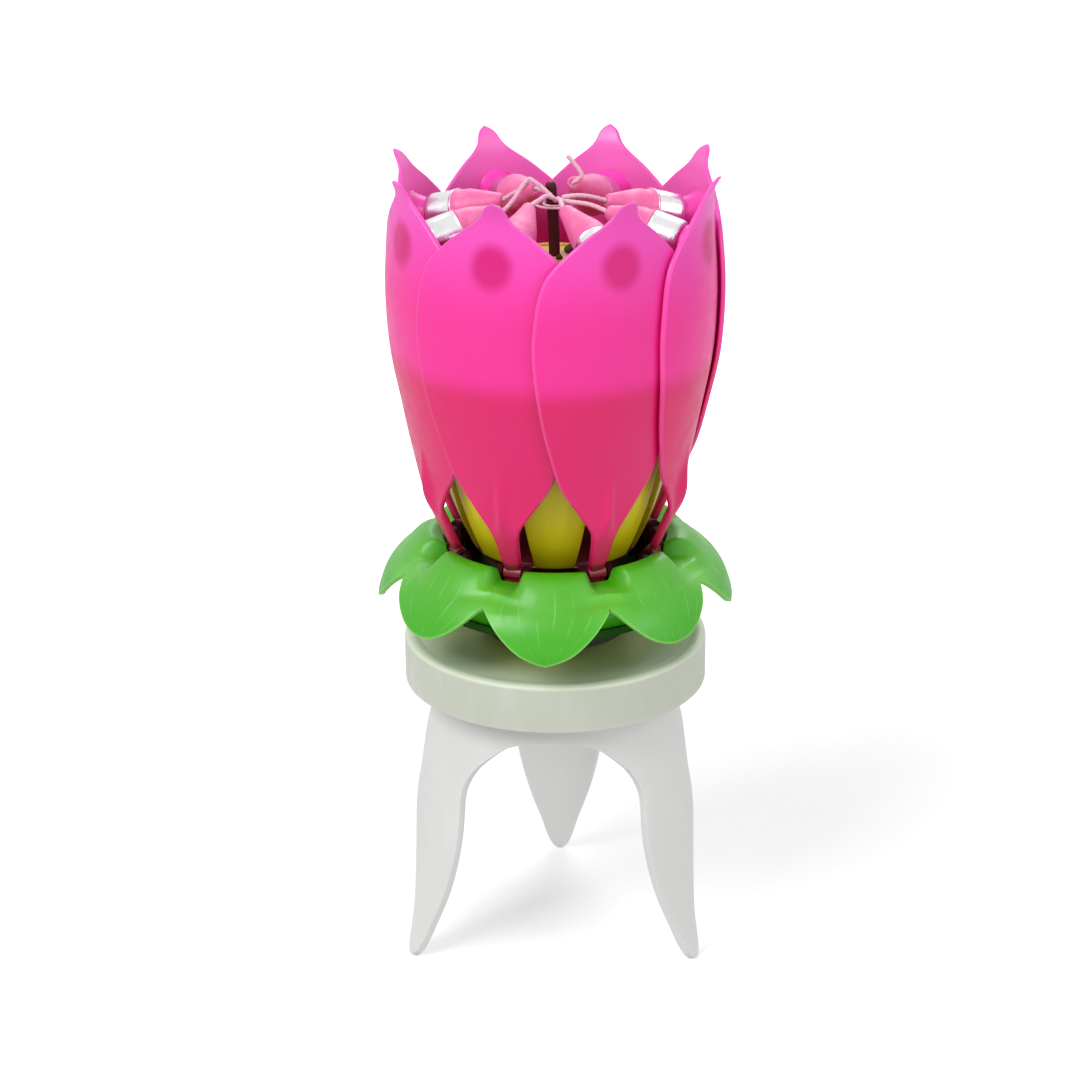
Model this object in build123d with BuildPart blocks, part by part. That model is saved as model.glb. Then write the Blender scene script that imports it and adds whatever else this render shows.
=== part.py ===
from build123d import *
from math import asin, cos, degrees, hypot, radians, sin, tan
import os

# Musical lotus candle: a flower head that turns on a three-legged stand.
# The origin is on the head's axis, level with the tips of the legs. +Z is up and -Y is the front.

# Fits between pieces
fit_gap = 0.02
slip_gap = 0.1
running_gap = 0.05
free_gap = 0.3
cut_overrun = 1.0

# Leg stand
blade_height = 48.5
blade_tip_radius = 27.9
blade_tip_half_width = 1.2
leg_ring_radius = 19.5
leg_wall = 1.4
leg_count = 3
leg_turn = -1.5
arch_height = 42.5

# Base disc
disc_radius = 24.9
disc_height = 8.0
disc_plate = 1.6
disc_wall = 1.2
disc_rim_round = 1.0
skirt_drop = 2.0
locating_rim_wall = 1.0
locating_rim_depth = 3.0
disc_boss_radius = 3.4
disc_boss_depth = 4.0

# Spindle and its washer, bush and clip
spindle_radius = 1.2
washer_radius = 3.6
washer_thickness = 0.8
bush_wall = 0.9
bush_flange_radius = 3.0
bush_flange_thickness = 0.3
clip_radius = 2.3
clip_thickness = 0.4
clip_mouth = 1.4
spindle_end = 0.7

# Gear train
gear_module = 0.4
sun_teeth = 24
planet_teeth = 10
wheel_teeth = 16
pinion_teeth = 8
gear_face = 1.4
gear_side_gap = 0.3
gear_pin_radius = 0.5
pinion_angle = 125
tooth_addendum_share = 0.75
tooth_dedendum_share = 1.1
tooth_root_share = 0.33
tooth_pitch_share = 0.22
tooth_tip_share = 0.11

# Mechanism case and lid
case_radius = 12.0
case_wall = 1.0
case_floor = 1.0
case_ledge = 0.4
case_flange_radius = 14.6
case_flange_thickness = 1.2
case_flange_height = 4.0
lid_thickness = 1.2
lid_spigot_wall = 0.9
lid_spigot_depth = 0.6
buzzer_room = 2.7
sound_hole_radius = 0.8
sound_hole_count = 5
sound_hole_step = 32
sound_hole_first = 130

# Motor plate and what stands on it
motor_plate_thickness = 0.8
post_radius = 0.9
post_circle = 9.6
post_angles = [44, 161, 284]
screw_radius = 0.45
screw_head_radius = 0.9
screw_head_height = 0.5
screw_grip = 1.8
motor_radius = 3.0
motor_height = 3.9
motor_shaft_radius = 0.4
motor_shaft_depth = 1.5
motor_tab_width = 1.2
motor_tab_thickness = 0.3
motor_tab_inset = 1.4
buzzer_pin_radius = 0.3
buzzer_pin_offset = 1.2
cell_radius = 3.95
cell_height = 3.6
cell_cap_radius = 3.0
cell_cap_height = 0.3
cell_first_angle = 127
contact_thickness = 0.25
bridge_thickness = 0.45
contact_radius = 3.3
board_radius = 10.8
board_thickness = 0.8
chip_radius = 3.2
chip_height = 0.8
chip_offset = 3.4
buzzer_radius = 8.2
buzzer_thickness = 0.25
ceramic_radius = 6.0
ceramic_thickness = 0.2
switch_angle = 247.5
switch_block_width = 4.0
switch_block_depth = 2.0
switch_block_height = 2.2
switch_leaf_thickness = 0.2
switch_leaf_width = 1.2
switch_leaf_gap = 0.5
switch_window_height = 1.8

# Petal hub and hinges
hub_thickness = 1.2
hub_radius = 20.4
hinge_circle = 16.9
hinge_height = 9.9
pin_radius = 0.45
knuckle_radius = 1.1
knuckle_half_length = 1.5
ear_gap = 0.2
ear_thickness = 1.0
ear_leg_depth = 1.2
hub_screw_radius = 0.6
hub_screw_head_radius = 1.1
hub_screw_head_height = 0.7
hub_screw_count = 4

# Petals
petal_count = 8
petal_first_angle = -67.5
petal_height = 62.8
petal_half_width = 13.3
petal_wall = 0.7
petal_pitch_offset = 1.6
petal_sweep = 70
petal_lean = 1.3
lean_start_share = 0.72
stalk_row_count = 4
stalk_half_width = 1.4
stalk_thickness = 1.4
rib_half_width = 0.65
rib_top_share = 0.25
rib_proud = 0.3
heel_length = 3.3
heel_thickness = 1.1
heel_lip = 0.3
heel_lip_reach = 0.7
band_radius = 0.4

# Candle units on the petals
candle_tilt = 14
cup_seat_radius = 21.2
cup_seat_drop = 10.5
cup_radius = 3.25
cup_wall = 0.25
cup_floor = 0.4
cup_length = 5.0
cup_bead = 0.25
post_foot_radius = 3.2
post_head_radius = 2.4
post_foot_reach = 6.6
post_foot_rise = 0.4
candle_length = 12.9
candle_straight = 7.3
candle_tip_radius = 1.1
candle_tip_round = 0.4
wick_radius = 0.45
wick_end_radius = 2.4

# Calyx
calyx_count = 8
calyx_turn = -3
calyx_wall = 0.8
calyx_lip_radius = 18.3
calyx_tip_radius = 29.1
calyx_crest_height = 10.3
calyx_drop = 12.4
calyx_foot_radius = 20.0
calyx_notch_half_width = 11.2
calyx_notch_height = 8.3
trough_half_width = 3.3
trough_depth = 2.7
trough_fall = 1.7
trough_reach_share = 0.667
trough_knee_share = 0.125
trough_wall_row = 5

# Inner crown
crown_foot_radius = 13.2
crown_rim_radius = 21.2
crown_height = 33.2
crown_wall = 0.8
crown_plate = 0.8
crown_gap_half_width = 3.3

# Fountain tube, its filling and the fuse
tube_radius = 6.3
tube_wall = 0.7
tube_height = 48.7
tube_lip = 0.4
tube_round = 0.25
cap_thickness = 1.2
cap_hole_radius = 0.7
cap_hole_circle = 3.4
cap_hole_count = 4
charge_height = 17.0
plug_height = 4.0
fuse_radius = 0.9
fuse_depth = 6.0
fuse_height = 11.8
fuse_lean = 3.0
fuse_bend_radius = 2.7
thread_radius = 0.2
thread_circle = 3.0
thread_gap = 0.08

# Levels, from the tips of the legs upwards
disc_bottom = blade_height - skirt_drop
disc_top = disc_bottom + disc_height
plate_underside = disc_top - disc_plate
case_bottom = disc_top + washer_thickness
case_floor_top = case_bottom + case_floor
sun_bottom = case_floor_top + gear_side_gap
sun_top = sun_bottom + gear_face
wheel_bottom = sun_top + gear_side_gap
wheel_top = wheel_bottom + gear_face
motor_plate_bottom = wheel_top + gear_side_gap
motor_plate_top = motor_plate_bottom + motor_plate_thickness
post_height = contact_thickness + cell_height + bridge_thickness
board_bottom = motor_plate_top + post_height
board_top = board_bottom + board_thickness
case_top = board_top + buzzer_room
case_height = case_top - case_bottom
lid_top = case_top + lid_thickness
flange_bottom = case_bottom + case_flange_height
hub_bottom = flange_bottom + case_flange_thickness
hub_top = hub_bottom + hub_thickness
hinge_level = hub_bottom + hinge_height
petal_top = hinge_level + petal_height
cup_seat_height = petal_top - cup_seat_drop
crown_bottom = lid_top
tube_top = lid_top + tube_height

# Radii and centres that follow from the sizes above
case_bore = case_radius - case_wall
sun_pitch = gear_module * sun_teeth / 2
planet_pitch = gear_module * planet_teeth / 2
wheel_pitch = gear_module * wheel_teeth / 2
pinion_pitch = gear_module * pinion_teeth / 2
planet_x = sun_pitch + planet_pitch
pinion_reach = wheel_pitch + pinion_pitch
pinion_x = planet_x + pinion_reach * cos(radians(pinion_angle))
pinion_y = pinion_reach * sin(radians(pinion_angle))
cell_circle = case_bore - cell_radius - slip_gap
cell_step = degrees(2 * asin((cell_radius + slip_gap) / cell_circle))
cell_angles = [cell_first_angle, cell_first_angle + cell_step]
petal_step = 360 / petal_count
petal_angles = [petal_first_angle + petal_step * index for index in range(petal_count)]


def around(radius, angle):
    """The point on a circle about the head's axis."""
    return (radius * cos(radians(angle)), radius * sin(radians(angle)))


def upright(angle, offset=0):
    """A vertical plane through the axis: x runs outwards at the angle, y runs up."""
    centre = around(offset, angle + 90)
    outwards = around(1, angle)
    side = around(1, angle - 90)
    return Plane(origin=(*centre, 0), x_dir=(*outwards, 0), z_dir=(*side, 0))


def facing(angle, distance=0):
    """A vertical plane that faces outwards at the angle: x runs sideways, y runs up."""
    centre = around(distance, angle)
    sideways = around(1, angle + 90)
    outwards = around(1, angle)
    return Plane(origin=(*centre, 0), x_dir=(*sideways, 0), z_dir=(*outwards, 0))


def inner_line(points, wall):
    """The points of a line that lies inside an outer profile, one wall away."""
    inner = []
    for index, point in enumerate(points):
        before = points[max(index - 1, 0)]
        after = points[min(index + 1, len(points) - 1)]
        run = (after[0] - before[0], after[1] - before[1])
        length = hypot(*run)
        inner.append((point[0] + wall * run[1] / length, point[1] - wall * run[0] / length))
    return inner


def gear_points(teeth, phase):
    """The corners of a spur gear with straight-sided teeth, one of them centred on the phase."""
    pitch_radius = gear_module * teeth / 2
    tip = pitch_radius + gear_module * tooth_addendum_share
    root = pitch_radius - gear_module * tooth_dedendum_share
    step = 360 / teeth
    corners = []
    for tooth in range(teeth):
        middle = phase + tooth * step
        corners.append(around(root, middle - step * tooth_root_share))
        corners.append(around(pitch_radius, middle - step * tooth_pitch_share))
        corners.append(around(tip, middle - step * tooth_tip_share))
        corners.append(around(tip, middle + step * tooth_tip_share))
        corners.append(around(pitch_radius, middle + step * tooth_pitch_share))
        corners.append(around(root, middle + step * tooth_root_share))
    return corners


def finish(piece, name):
    """Label a finished piece and write it to its own file."""
    piece.part.label = name
    export_step(piece.part, f"parts/{name}.step")


os.makedirs("parts", exist_ok=True)

# Leg stand: one turned wall that three arches cut into spear-shaped blades.
# Each row is a share of the ring-to-tip flare and a share of the blade's height.
blade_profile_shares = [
    (0.0, 1.0), (0.05, 0.907), (0.215, 0.784), (0.37, 0.66), (0.45, 0.577),
    (0.525, 0.412), (0.607, 0.258), (0.74, 0.138), (1.0, 0.0),
]
# Each row is a share of the arch's half width at the foot and a share of its height.
arch_shares = [
    (1.0, 0.0), (0.905, 0.075), (0.837, 0.158), (0.754, 0.287), (0.695, 0.412), (0.652, 0.541),
    (0.635, 0.668), (0.625, 0.741), (0.593, 0.8), (0.531, 0.861), (0.442, 0.911), (0.34, 0.955),
    (0.178, 0.99), (0.0, 1.0),
]
blade_flare = blade_tip_radius - leg_ring_radius
blade_points = [
    (leg_ring_radius + flare_share * blade_flare, height_share * blade_height)
    for flare_share, height_share in blade_profile_shares
]
leg_step = 360 / leg_count
tip_half_angle = asin(blade_tip_half_width / blade_tip_radius)
arch_half_width = blade_tip_radius * sin(radians(leg_step / 2) - tip_half_angle)
arch_points = [
    (width_share * arch_half_width, height_share * arch_height)
    for width_share, height_share in arch_shares
]
arch_angles = [-90 + leg_turn + leg_step * index for index in range(leg_count)]

with BuildPart() as leg_stand:
    with BuildSketch(upright(0)):
        with BuildLine():
            outside = Spline(*blade_points)
            inside = Spline(*[(radius - leg_wall, level) for radius, level in blade_points])
            Line(outside @ 1, inside @ 1)
            Polyline(
                outside @ 0,
                (leg_ring_radius, plate_underside),
                (leg_ring_radius - leg_wall, plate_underside),
                inside @ 0,
            )
        make_face()
    revolve(axis=Axis.Z)
    for angle in arch_angles:
        with BuildSketch(facing(angle)):
            with BuildLine():
                side = Spline(*arch_points)
                Polyline(side @ 0, (arch_half_width, -cut_overrun), (0, -cut_overrun))
                mirror(about=Plane.YZ)
            make_face()
        extrude(amount=2 * blade_tip_radius, mode=Mode.SUBTRACT)
finish(leg_stand, "leg_stand")

# Base disc: a shallow cap over the leg ring, with a rim that centres it and a boss for the spindle.
rim_outer = leg_ring_radius - leg_wall - slip_gap
with BuildPart() as base_disc:
    with BuildSketch(Plane.XY.offset(disc_bottom)):
        Circle(disc_radius)
    extrude(amount=disc_height)
    fillet(base_disc.edges().group_by(Axis.Z)[-1], disc_rim_round)
    with BuildSketch(Plane.XY.offset(disc_bottom)):
        Circle(disc_radius - disc_wall)
    extrude(amount=disc_height - disc_plate, mode=Mode.SUBTRACT)
    with BuildSketch(Plane.XY.offset(plate_underside)):
        Circle(rim_outer)
        Circle(rim_outer - locating_rim_wall, mode=Mode.SUBTRACT)
    extrude(amount=-locating_rim_depth)
    with BuildSketch(Plane.XY.offset(plate_underside)):
        Circle(disc_boss_radius)
    extrude(amount=-disc_boss_depth)
    with BuildSketch(Plane.XY.offset(plate_underside - disc_boss_depth)):
        Circle(spindle_radius + fit_gap)
    extrude(amount=disc_boss_depth + disc_plate, mode=Mode.SUBTRACT)
finish(base_disc, "base_disc")

# Spindle: a plain pin that stands in the boss and carries the sun gear.
spindle_bottom = plate_underside - disc_boss_depth
clip_bottom = sun_top
spindle_top = clip_bottom + clip_thickness + spindle_end
clip_groove_radius = spindle_radius - clip_thickness / 2
with BuildPart() as spindle:
    with BuildSketch(Plane.XY.offset(spindle_bottom)):
        Circle(spindle_radius)
    extrude(amount=spindle_top - spindle_bottom)
    chamfer(spindle.edges().group_by(Axis.Z)[-1], clip_thickness / 2)
    with BuildSketch(Plane.XY.offset(clip_bottom)):
        Circle(spindle_radius + cut_overrun)
        Circle(clip_groove_radius, mode=Mode.SUBTRACT)
    extrude(amount=clip_thickness, mode=Mode.SUBTRACT)
finish(spindle, "spindle")

with BuildPart() as thrust_washer:
    with BuildSketch(Plane.XY.offset(disc_top)):
        Circle(washer_radius)
        Circle(spindle_radius + running_gap, mode=Mode.SUBTRACT)
    extrude(amount=washer_thickness)
finish(thrust_washer, "thrust_washer")

with BuildPart() as sun_gear:
    with BuildSketch(Plane.XY.offset(sun_bottom)):
        Polygon(*gear_points(sun_teeth, 0), align=None)
        Circle(spindle_radius + fit_gap, mode=Mode.SUBTRACT)
    extrude(amount=gear_face)
finish(sun_gear, "sun_gear")

with BuildPart() as retaining_clip:
    with BuildSketch(Plane.XY.offset(clip_bottom)):
        Circle(clip_radius)
        Circle(clip_groove_radius + fit_gap, mode=Mode.SUBTRACT)
        with Locations((clip_radius, 0)):
            Rectangle(2 * clip_radius, clip_mouth, mode=Mode.SUBTRACT)
    extrude(amount=clip_thickness)
finish(retaining_clip, "retaining_clip")

# Mechanism case: a cup with a ledge for the motor plate and a flange that carries the hub.
bush_outer = spindle_radius + bush_wall
post_points = [around(post_circle, angle) for angle in post_angles]
hub_screw_circle = (case_radius + case_flange_radius) / 2
hub_screw_angles = [petal_angles[0] + petal_step / 2 + 360 / hub_screw_count * index
                    for index in range(hub_screw_count)]
hub_screw_points = [around(hub_screw_circle, angle) for angle in hub_screw_angles]
sound_hole_angles = [sound_hole_first + sound_hole_step * index for index in range(sound_hole_count)]
sound_hole_circle = (sun_pitch + case_bore) / 2 + sound_hole_radius
switch_leaf_level = motor_plate_top + switch_block_height / 2
with BuildPart() as mechanism_case:
    with BuildSketch(Plane.XY.offset(case_bottom)):
        Circle(case_radius)
    extrude(amount=case_height)
    with BuildSketch(Plane.XY.offset(flange_bottom)):
        Circle(case_flange_radius)
    extrude(amount=case_flange_thickness)
    with BuildSketch(Plane.XY.offset(case_floor_top)):
        Circle(case_bore - case_ledge)
    extrude(amount=case_height, mode=Mode.SUBTRACT)
    with BuildSketch(Plane.XY.offset(motor_plate_bottom)):
        Circle(case_bore)
    extrude(amount=case_height, mode=Mode.SUBTRACT)
    with BuildSketch(Plane.XY.offset(case_bottom)):
        Circle(bush_outer + fit_gap)
        with Locations((planet_x, 0)):
            Circle(gear_pin_radius + fit_gap)
        with Locations(*[around(sound_hole_circle, angle) for angle in sound_hole_angles]):
            Circle(sound_hole_radius)
    extrude(amount=case_floor, mode=Mode.SUBTRACT)
    with BuildSketch(Plane.XY.offset(flange_bottom)):
        with Locations(*hub_screw_points):
            Circle(hub_screw_radius + fit_gap)
    extrude(amount=case_flange_thickness, mode=Mode.SUBTRACT)
    with BuildSketch(facing(switch_angle, case_bore - case_ledge)):
        with Locations((0, switch_leaf_level)):
            Rectangle(switch_leaf_width + 2 * free_gap, switch_window_height)
    extrude(amount=2 * case_wall, mode=Mode.SUBTRACT)
finish(mechanism_case, "mechanism_case")

with BuildPart() as spindle_bush:
    with BuildSketch(Plane.XY.offset(case_bottom)):
        Circle(bush_outer)
    extrude(amount=case_floor)
    with BuildSketch(Plane.XY.offset(case_floor_top)):
        Circle(bush_flange_radius)
    extrude(amount=gear_side_gap - running_gap)
    with BuildSketch(Plane.XY.offset(case_bottom)):
        Circle(spindle_radius + running_gap)
    extrude(amount=case_floor + bush_flange_thickness, mode=Mode.SUBTRACT)
finish(spindle_bush, "spindle_bush")

with BuildPart() as gear_pin:
    with BuildSketch(Plane.XY.offset(case_bottom)):
        with Locations((planet_x, 0)):
            Circle(gear_pin_radius)
    extrude(amount=motor_plate_top - case_bottom)
finish(gear_pin, "gear_pin")

# Reduction gear: the small gear meshes with the sun, the wheel above it with the motor's pinion.
planet_phase = 180 - 180 / planet_teeth
wheel_phase = pinion_angle
pinion_phase = pinion_angle + 180 - 180 / pinion_teeth
with BuildPart() as reduction_gear:
    with BuildSketch(Plane((planet_x, 0, sun_bottom))):
        Polygon(*gear_points(planet_teeth, planet_phase), align=None)
    extrude(amount=gear_face + gear_side_gap)
    with BuildSketch(Plane((planet_x, 0, wheel_bottom))):
        Polygon(*gear_points(wheel_teeth, wheel_phase), align=None)
    extrude(amount=gear_face)
    with BuildSketch(Plane((planet_x, 0, sun_bottom))):
        Circle(gear_pin_radius + running_gap)
    extrude(amount=wheel_top - sun_bottom, mode=Mode.SUBTRACT)
finish(reduction_gear, "reduction_gear")

with BuildPart() as motor_pinion:
    with BuildSketch(Plane((pinion_x, pinion_y, wheel_bottom))):
        Polygon(*gear_points(pinion_teeth, pinion_phase), align=None)
    extrude(amount=gear_face)
    with BuildSketch(Plane((pinion_x, pinion_y, wheel_bottom))):
        Circle(motor_shaft_radius)
    extrude(amount=motor_plate_top - wheel_bottom + motor_shaft_depth)
finish(motor_pinion, "motor_pinion")

# Motor plate: it closes the gear space, holds the motor and carries the board on three posts.
with BuildPart() as motor_plate:
    with BuildSketch(Plane.XY.offset(motor_plate_bottom)):
        Circle(case_bore - slip_gap)
        with Locations((planet_x, 0)):
            Circle(gear_pin_radius + fit_gap, mode=Mode.SUBTRACT)
        with Locations((pinion_x, pinion_y)):
            Circle(motor_shaft_radius + free_gap, mode=Mode.SUBTRACT)
    extrude(amount=motor_plate_thickness)
    with BuildSketch(Plane.XY.offset(motor_plate_top)):
        with Locations(*post_points):
            Circle(post_radius)
    extrude(amount=post_height)
    with BuildSketch(Plane.XY.offset(board_bottom)):
        with Locations(*post_points):
            Circle(screw_radius + fit_gap)
    extrude(amount=-screw_grip, mode=Mode.SUBTRACT)
finish(motor_plate, "motor_plate")

with BuildPart() as motor:
    with BuildSketch(Plane((pinion_x, pinion_y, motor_plate_top))):
        Circle(motor_radius)
    extrude(amount=motor_height)
    fillet(motor.edges().group_by(Axis.Z)[-1], motor_tab_thickness)
    with BuildSketch(Plane((pinion_x, pinion_y, motor_plate_top))):
        Circle(motor_shaft_radius + running_gap)
    extrude(amount=motor_shaft_depth + free_gap, mode=Mode.SUBTRACT)
finish(motor, "motor")

# Two button cells stand between a lower contact each and one bridge above.
cell_bottom = motor_plate_top + contact_thickness
cell_points = [around(cell_circle, angle) for angle in cell_angles]
with BuildPart() as button_cells:
    with BuildSketch(Plane.XY.offset(cell_bottom)):
        with Locations(*cell_points):
            Circle(cell_cap_radius)
    extrude(amount=cell_cap_height)
    with BuildSketch(Plane.XY.offset(cell_bottom + cell_cap_height)):
        with Locations(*cell_points):
            Circle(cell_radius)
    extrude(amount=cell_height - cell_cap_height)
    fillet(button_cells.edges().group_by(Axis.Z)[-1], cell_cap_height)
finish(button_cells, "button_cells")

bridge_bottom = cell_bottom + cell_height
bridge_middle_angle = (cell_angles[0] + cell_angles[1]) / 2
bridge_middle_circle = cell_circle * cos(radians(cell_step / 2))
bridge_length = 2 * cell_circle * sin(radians(cell_step / 2))
with BuildPart() as battery_contacts:
    with BuildSketch(Plane.XY.offset(motor_plate_top)):
        with Locations(*cell_points):
            Circle(contact_radius)
    extrude(amount=contact_thickness)
    with BuildSketch(Plane.XY.offset(bridge_bottom)):
        with Locations(around(bridge_middle_circle, bridge_middle_angle)):
            SlotCenterToCenter(bridge_length, contact_radius, rotation=bridge_middle_angle + 90)
    extrude(amount=board_bottom - bridge_bottom)
finish(battery_contacts, "battery_contacts")

# Circuit board with its sound chip, and the buzzer that is glued under the lid.
with BuildPart() as circuit_board:
    with BuildSketch(Plane.XY.offset(board_bottom)):
        Circle(board_radius)
        with Locations(*post_points):
            Circle(screw_radius + slip_gap, mode=Mode.SUBTRACT)
    extrude(amount=board_thickness)
finish(circuit_board, "circuit_board")

with BuildPart() as melody_chip:
    with BuildSketch(Plane((chip_offset, -chip_offset, board_top))):
        Circle(chip_radius)
    extrude(amount=chip_height)
    fillet(melody_chip.edges().group_by(Axis.Z)[-1], chip_height - fit_gap)
finish(melody_chip, "melody_chip")

with BuildPart() as buzzer_plate:
    with BuildSketch(Plane.XY.offset(case_top)):
        Circle(buzzer_radius)
    extrude(amount=-buzzer_thickness)
finish(buzzer_plate, "buzzer_plate")

with BuildPart() as buzzer_ceramic:
    with BuildSketch(Plane.XY.offset(case_top - buzzer_thickness)):
        Circle(ceramic_radius)
    extrude(amount=-ceramic_thickness)
finish(buzzer_ceramic, "buzzer_ceramic")

# Contact pins: two tabs from the motor up to the board, two springy pins from it to the buzzer.
with BuildPart() as contact_pins:
    with BuildSketch(Plane((pinion_x, pinion_y, motor_plate_top + motor_height))):
        with Locations((-motor_tab_inset, 0), (motor_tab_inset, 0)):
            Rectangle(motor_tab_thickness, motor_tab_width)
    extrude(amount=post_height - motor_height)
    with BuildSketch(Plane((-chip_offset, chip_offset, board_top))):
        with Locations((-buzzer_pin_offset, 0), (buzzer_pin_offset, 0)):
            Circle(buzzer_pin_radius)
    extrude(amount=case_top - buzzer_thickness - ceramic_thickness - board_top)
finish(contact_pins, "contact_pins")

# Leaf switch: a block on the motor plate with two leaves that reach out through the case's window.
switch_block_reach = case_bore - slip_gap - switch_block_depth
switch_leaf_end = case_radius - switch_leaf_thickness
switch_block_middle = switch_block_reach + switch_block_depth / 2
with BuildPart() as switch_block:
    with BuildSketch(Plane.XY.offset(motor_plate_top)):
        with Locations(around(switch_block_middle - switch_block_depth / 2, switch_angle)):
            Rectangle(switch_block_depth, switch_block_width, rotation=switch_angle)
    extrude(amount=switch_block_height)
    with BuildSketch(facing(switch_angle, 0)):
        with Locations((0, switch_leaf_level)):
            Rectangle(switch_leaf_width, switch_leaf_gap + 2 * switch_leaf_thickness)
    extrude(amount=case_radius, mode=Mode.SUBTRACT)
finish(switch_block, "switch_block")

leaf_levels = [
    switch_leaf_level - (switch_leaf_gap + switch_leaf_thickness) / 2,
    switch_leaf_level + (switch_leaf_gap + switch_leaf_thickness) / 2,
]
switch_leaf_start = switch_block_middle - switch_block_depth
with BuildPart() as switch_leaves:
    with BuildSketch(facing(switch_angle, switch_leaf_start)):
        with Locations(*[(0, level) for level in leaf_levels]):
            Rectangle(switch_leaf_width - 2 * fit_gap, switch_leaf_thickness)
    extrude(amount=switch_leaf_end - switch_leaf_start)
finish(switch_leaves, "switch_leaves")

with BuildPart() as case_lid:
    with BuildSketch(Plane.XY.offset(case_top)):
        Circle(case_radius)
    extrude(amount=lid_thickness)
    with BuildSketch(Plane.XY.offset(case_top)):
        Circle(case_bore - slip_gap)
        Circle(case_bore - slip_gap - lid_spigot_wall, mode=Mode.SUBTRACT)
    extrude(amount=-lid_spigot_depth)
    with BuildSketch(Plane.XY.offset(case_top - lid_spigot_depth)):
        with Locations(*post_points):
            Circle(screw_radius + slip_gap)
    extrude(amount=lid_spigot_depth + lid_thickness, mode=Mode.SUBTRACT)
    with BuildSketch(Plane.XY.offset(lid_top)):
        with Locations(*post_points):
            Circle(screw_head_radius + slip_gap)
    extrude(amount=-screw_head_height, mode=Mode.SUBTRACT)
finish(case_lid, "case_lid")

screw_seat = lid_top - screw_head_height
with BuildPart() as case_screws:
    with BuildSketch(Plane.XY.offset(screw_seat)):
        with Locations(*post_points):
            Circle(screw_head_radius)
    extrude(amount=screw_head_height)
    with BuildSketch(Plane.XY.offset(screw_seat)):
        with Locations(*post_points):
            Circle(screw_radius)
    extrude(amount=board_bottom - screw_grip - screw_seat)
finish(case_screws, "case_screws")

# Petal hub: a ring on the case's flange with a pair of ears for each petal.
ear_inner_face = knuckle_half_length + ear_gap
ear_outer_face = ear_inner_face + ear_thickness
with BuildPart() as petal_hub:
    with BuildSketch(Plane.XY.offset(hub_bottom)):
        Circle(hub_radius)
        Circle(case_radius + slip_gap, mode=Mode.SUBTRACT)
        with Locations(*hub_screw_points):
            Circle(hub_screw_radius + fit_gap, mode=Mode.SUBTRACT)
    extrude(amount=hub_thickness)
    for angle in petal_angles:
        for offset in (ear_inner_face, -ear_outer_face):
            with BuildSketch(upright(angle, offset + ear_thickness)):
                with Locations((hinge_circle, hinge_level)):
                    Circle(knuckle_radius)
                with BuildLine():
                    Polyline(
                        (hinge_circle - ear_leg_depth, hub_bottom),
                        (hinge_circle, hub_bottom),
                        (hinge_circle, hinge_level),
                        (hinge_circle - ear_leg_depth, hinge_level),
                        close=True,
                    )
                make_face()
                with Locations((hinge_circle, hinge_level)):
                    Circle(pin_radius + fit_gap, mode=Mode.SUBTRACT)
            extrude(amount=ear_thickness)
finish(petal_hub, "petal_hub")

with BuildPart() as hub_screws:
    with BuildSketch(Plane.XY.offset(flange_bottom)):
        with Locations(*hub_screw_points):
            Circle(hub_screw_head_radius)
    extrude(amount=-hub_screw_head_height)
    with BuildSketch(Plane.XY.offset(flange_bottom)):
        with Locations(*hub_screw_points):
            Circle(hub_screw_radius)
    extrude(amount=case_flange_thickness + hub_thickness)
finish(hub_screws, "hub_screws")

with BuildPart() as hinge_pins:
    for angle in petal_angles:
        with BuildSketch(upright(angle, ear_outer_face)):
            with Locations((hinge_circle, hinge_level)):
                Circle(pin_radius)
        extrude(amount=2 * ear_outer_face)
finish(hinge_pins, "hinge_pins")

# Elastic band: it runs round the outer faces of all the heels and pulls the petals open.
heel_outer_face = hinge_circle + heel_thickness / 2
heel_bottom = hinge_level - heel_length
band_circle = heel_outer_face + slip_gap + band_radius
band_level = heel_bottom + heel_lip + band_radius
with BuildPart() as elastic_band:
    with BuildSketch(upright(0)):
        with Locations((band_circle, band_level)):
            Circle(band_radius)
    revolve(axis=Axis.Z)
finish(elastic_band, "elastic_band")

# Petal: a curved blade on a stalk, with a hinge knuckle, a heel below it and a post for the candle.
# It is drawn pointing along +X. Its wall is turned about an axis beside the head's axis, so that
# one edge lies outside the next petal and the other edge inside.
# Each row is a share of the petal's height above the hinge and the wall's radius as a share of
# the half width.
petal_radius_shares = [
    (0.0, 1.301), (0.041, 1.398), (0.073, 1.466), (0.137, 1.594), (0.185, 1.634), (0.24, 1.679),
    (0.296, 1.735), (0.403, 1.836), (0.51, 1.931), (0.615, 1.974), (0.721, 1.978), (0.822, 1.944),
    (0.877, 1.928), (0.925, 1.93), (0.963, 1.966), (1.0, 2.07),
]
# Each row is a share of the petal's height above the hinge and a share of its half width. Near
# its tip the outline leans to one side.
petal_outline_shares = [
    (0.018, 0.105), (0.057, 0.128), (0.127, 0.18), (0.169, 0.293), (0.217, 0.451), (0.264, 0.594),
    (0.32, 0.695), (0.408, 0.823), (0.492, 0.917), (0.567, 0.974), (0.646, 1.0), (0.723, 0.97),
    (0.79, 0.905), (0.826, 0.83), (0.852, 0.733), (0.882, 0.588), (0.912, 0.425), (0.943, 0.235),
    (0.963, 0.158), (0.983, 0.112), (1.0, 0.0),
]
petal_axis = Axis((0, -petal_pitch_offset, 0), (0, 0, 1))
petal_outer = [
    (radius_share * petal_half_width, hinge_level + height_share * petal_height)
    for height_share, radius_share in petal_radius_shares
]
petal_inner = [(radius - petal_wall, level) for radius, level in petal_outer]
lean_rows = [
    petal_lean * (max(height_share - lean_start_share, 0) / (1 - lean_start_share)) ** 2
    for height_share, width_share in petal_outline_shares
]
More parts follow.
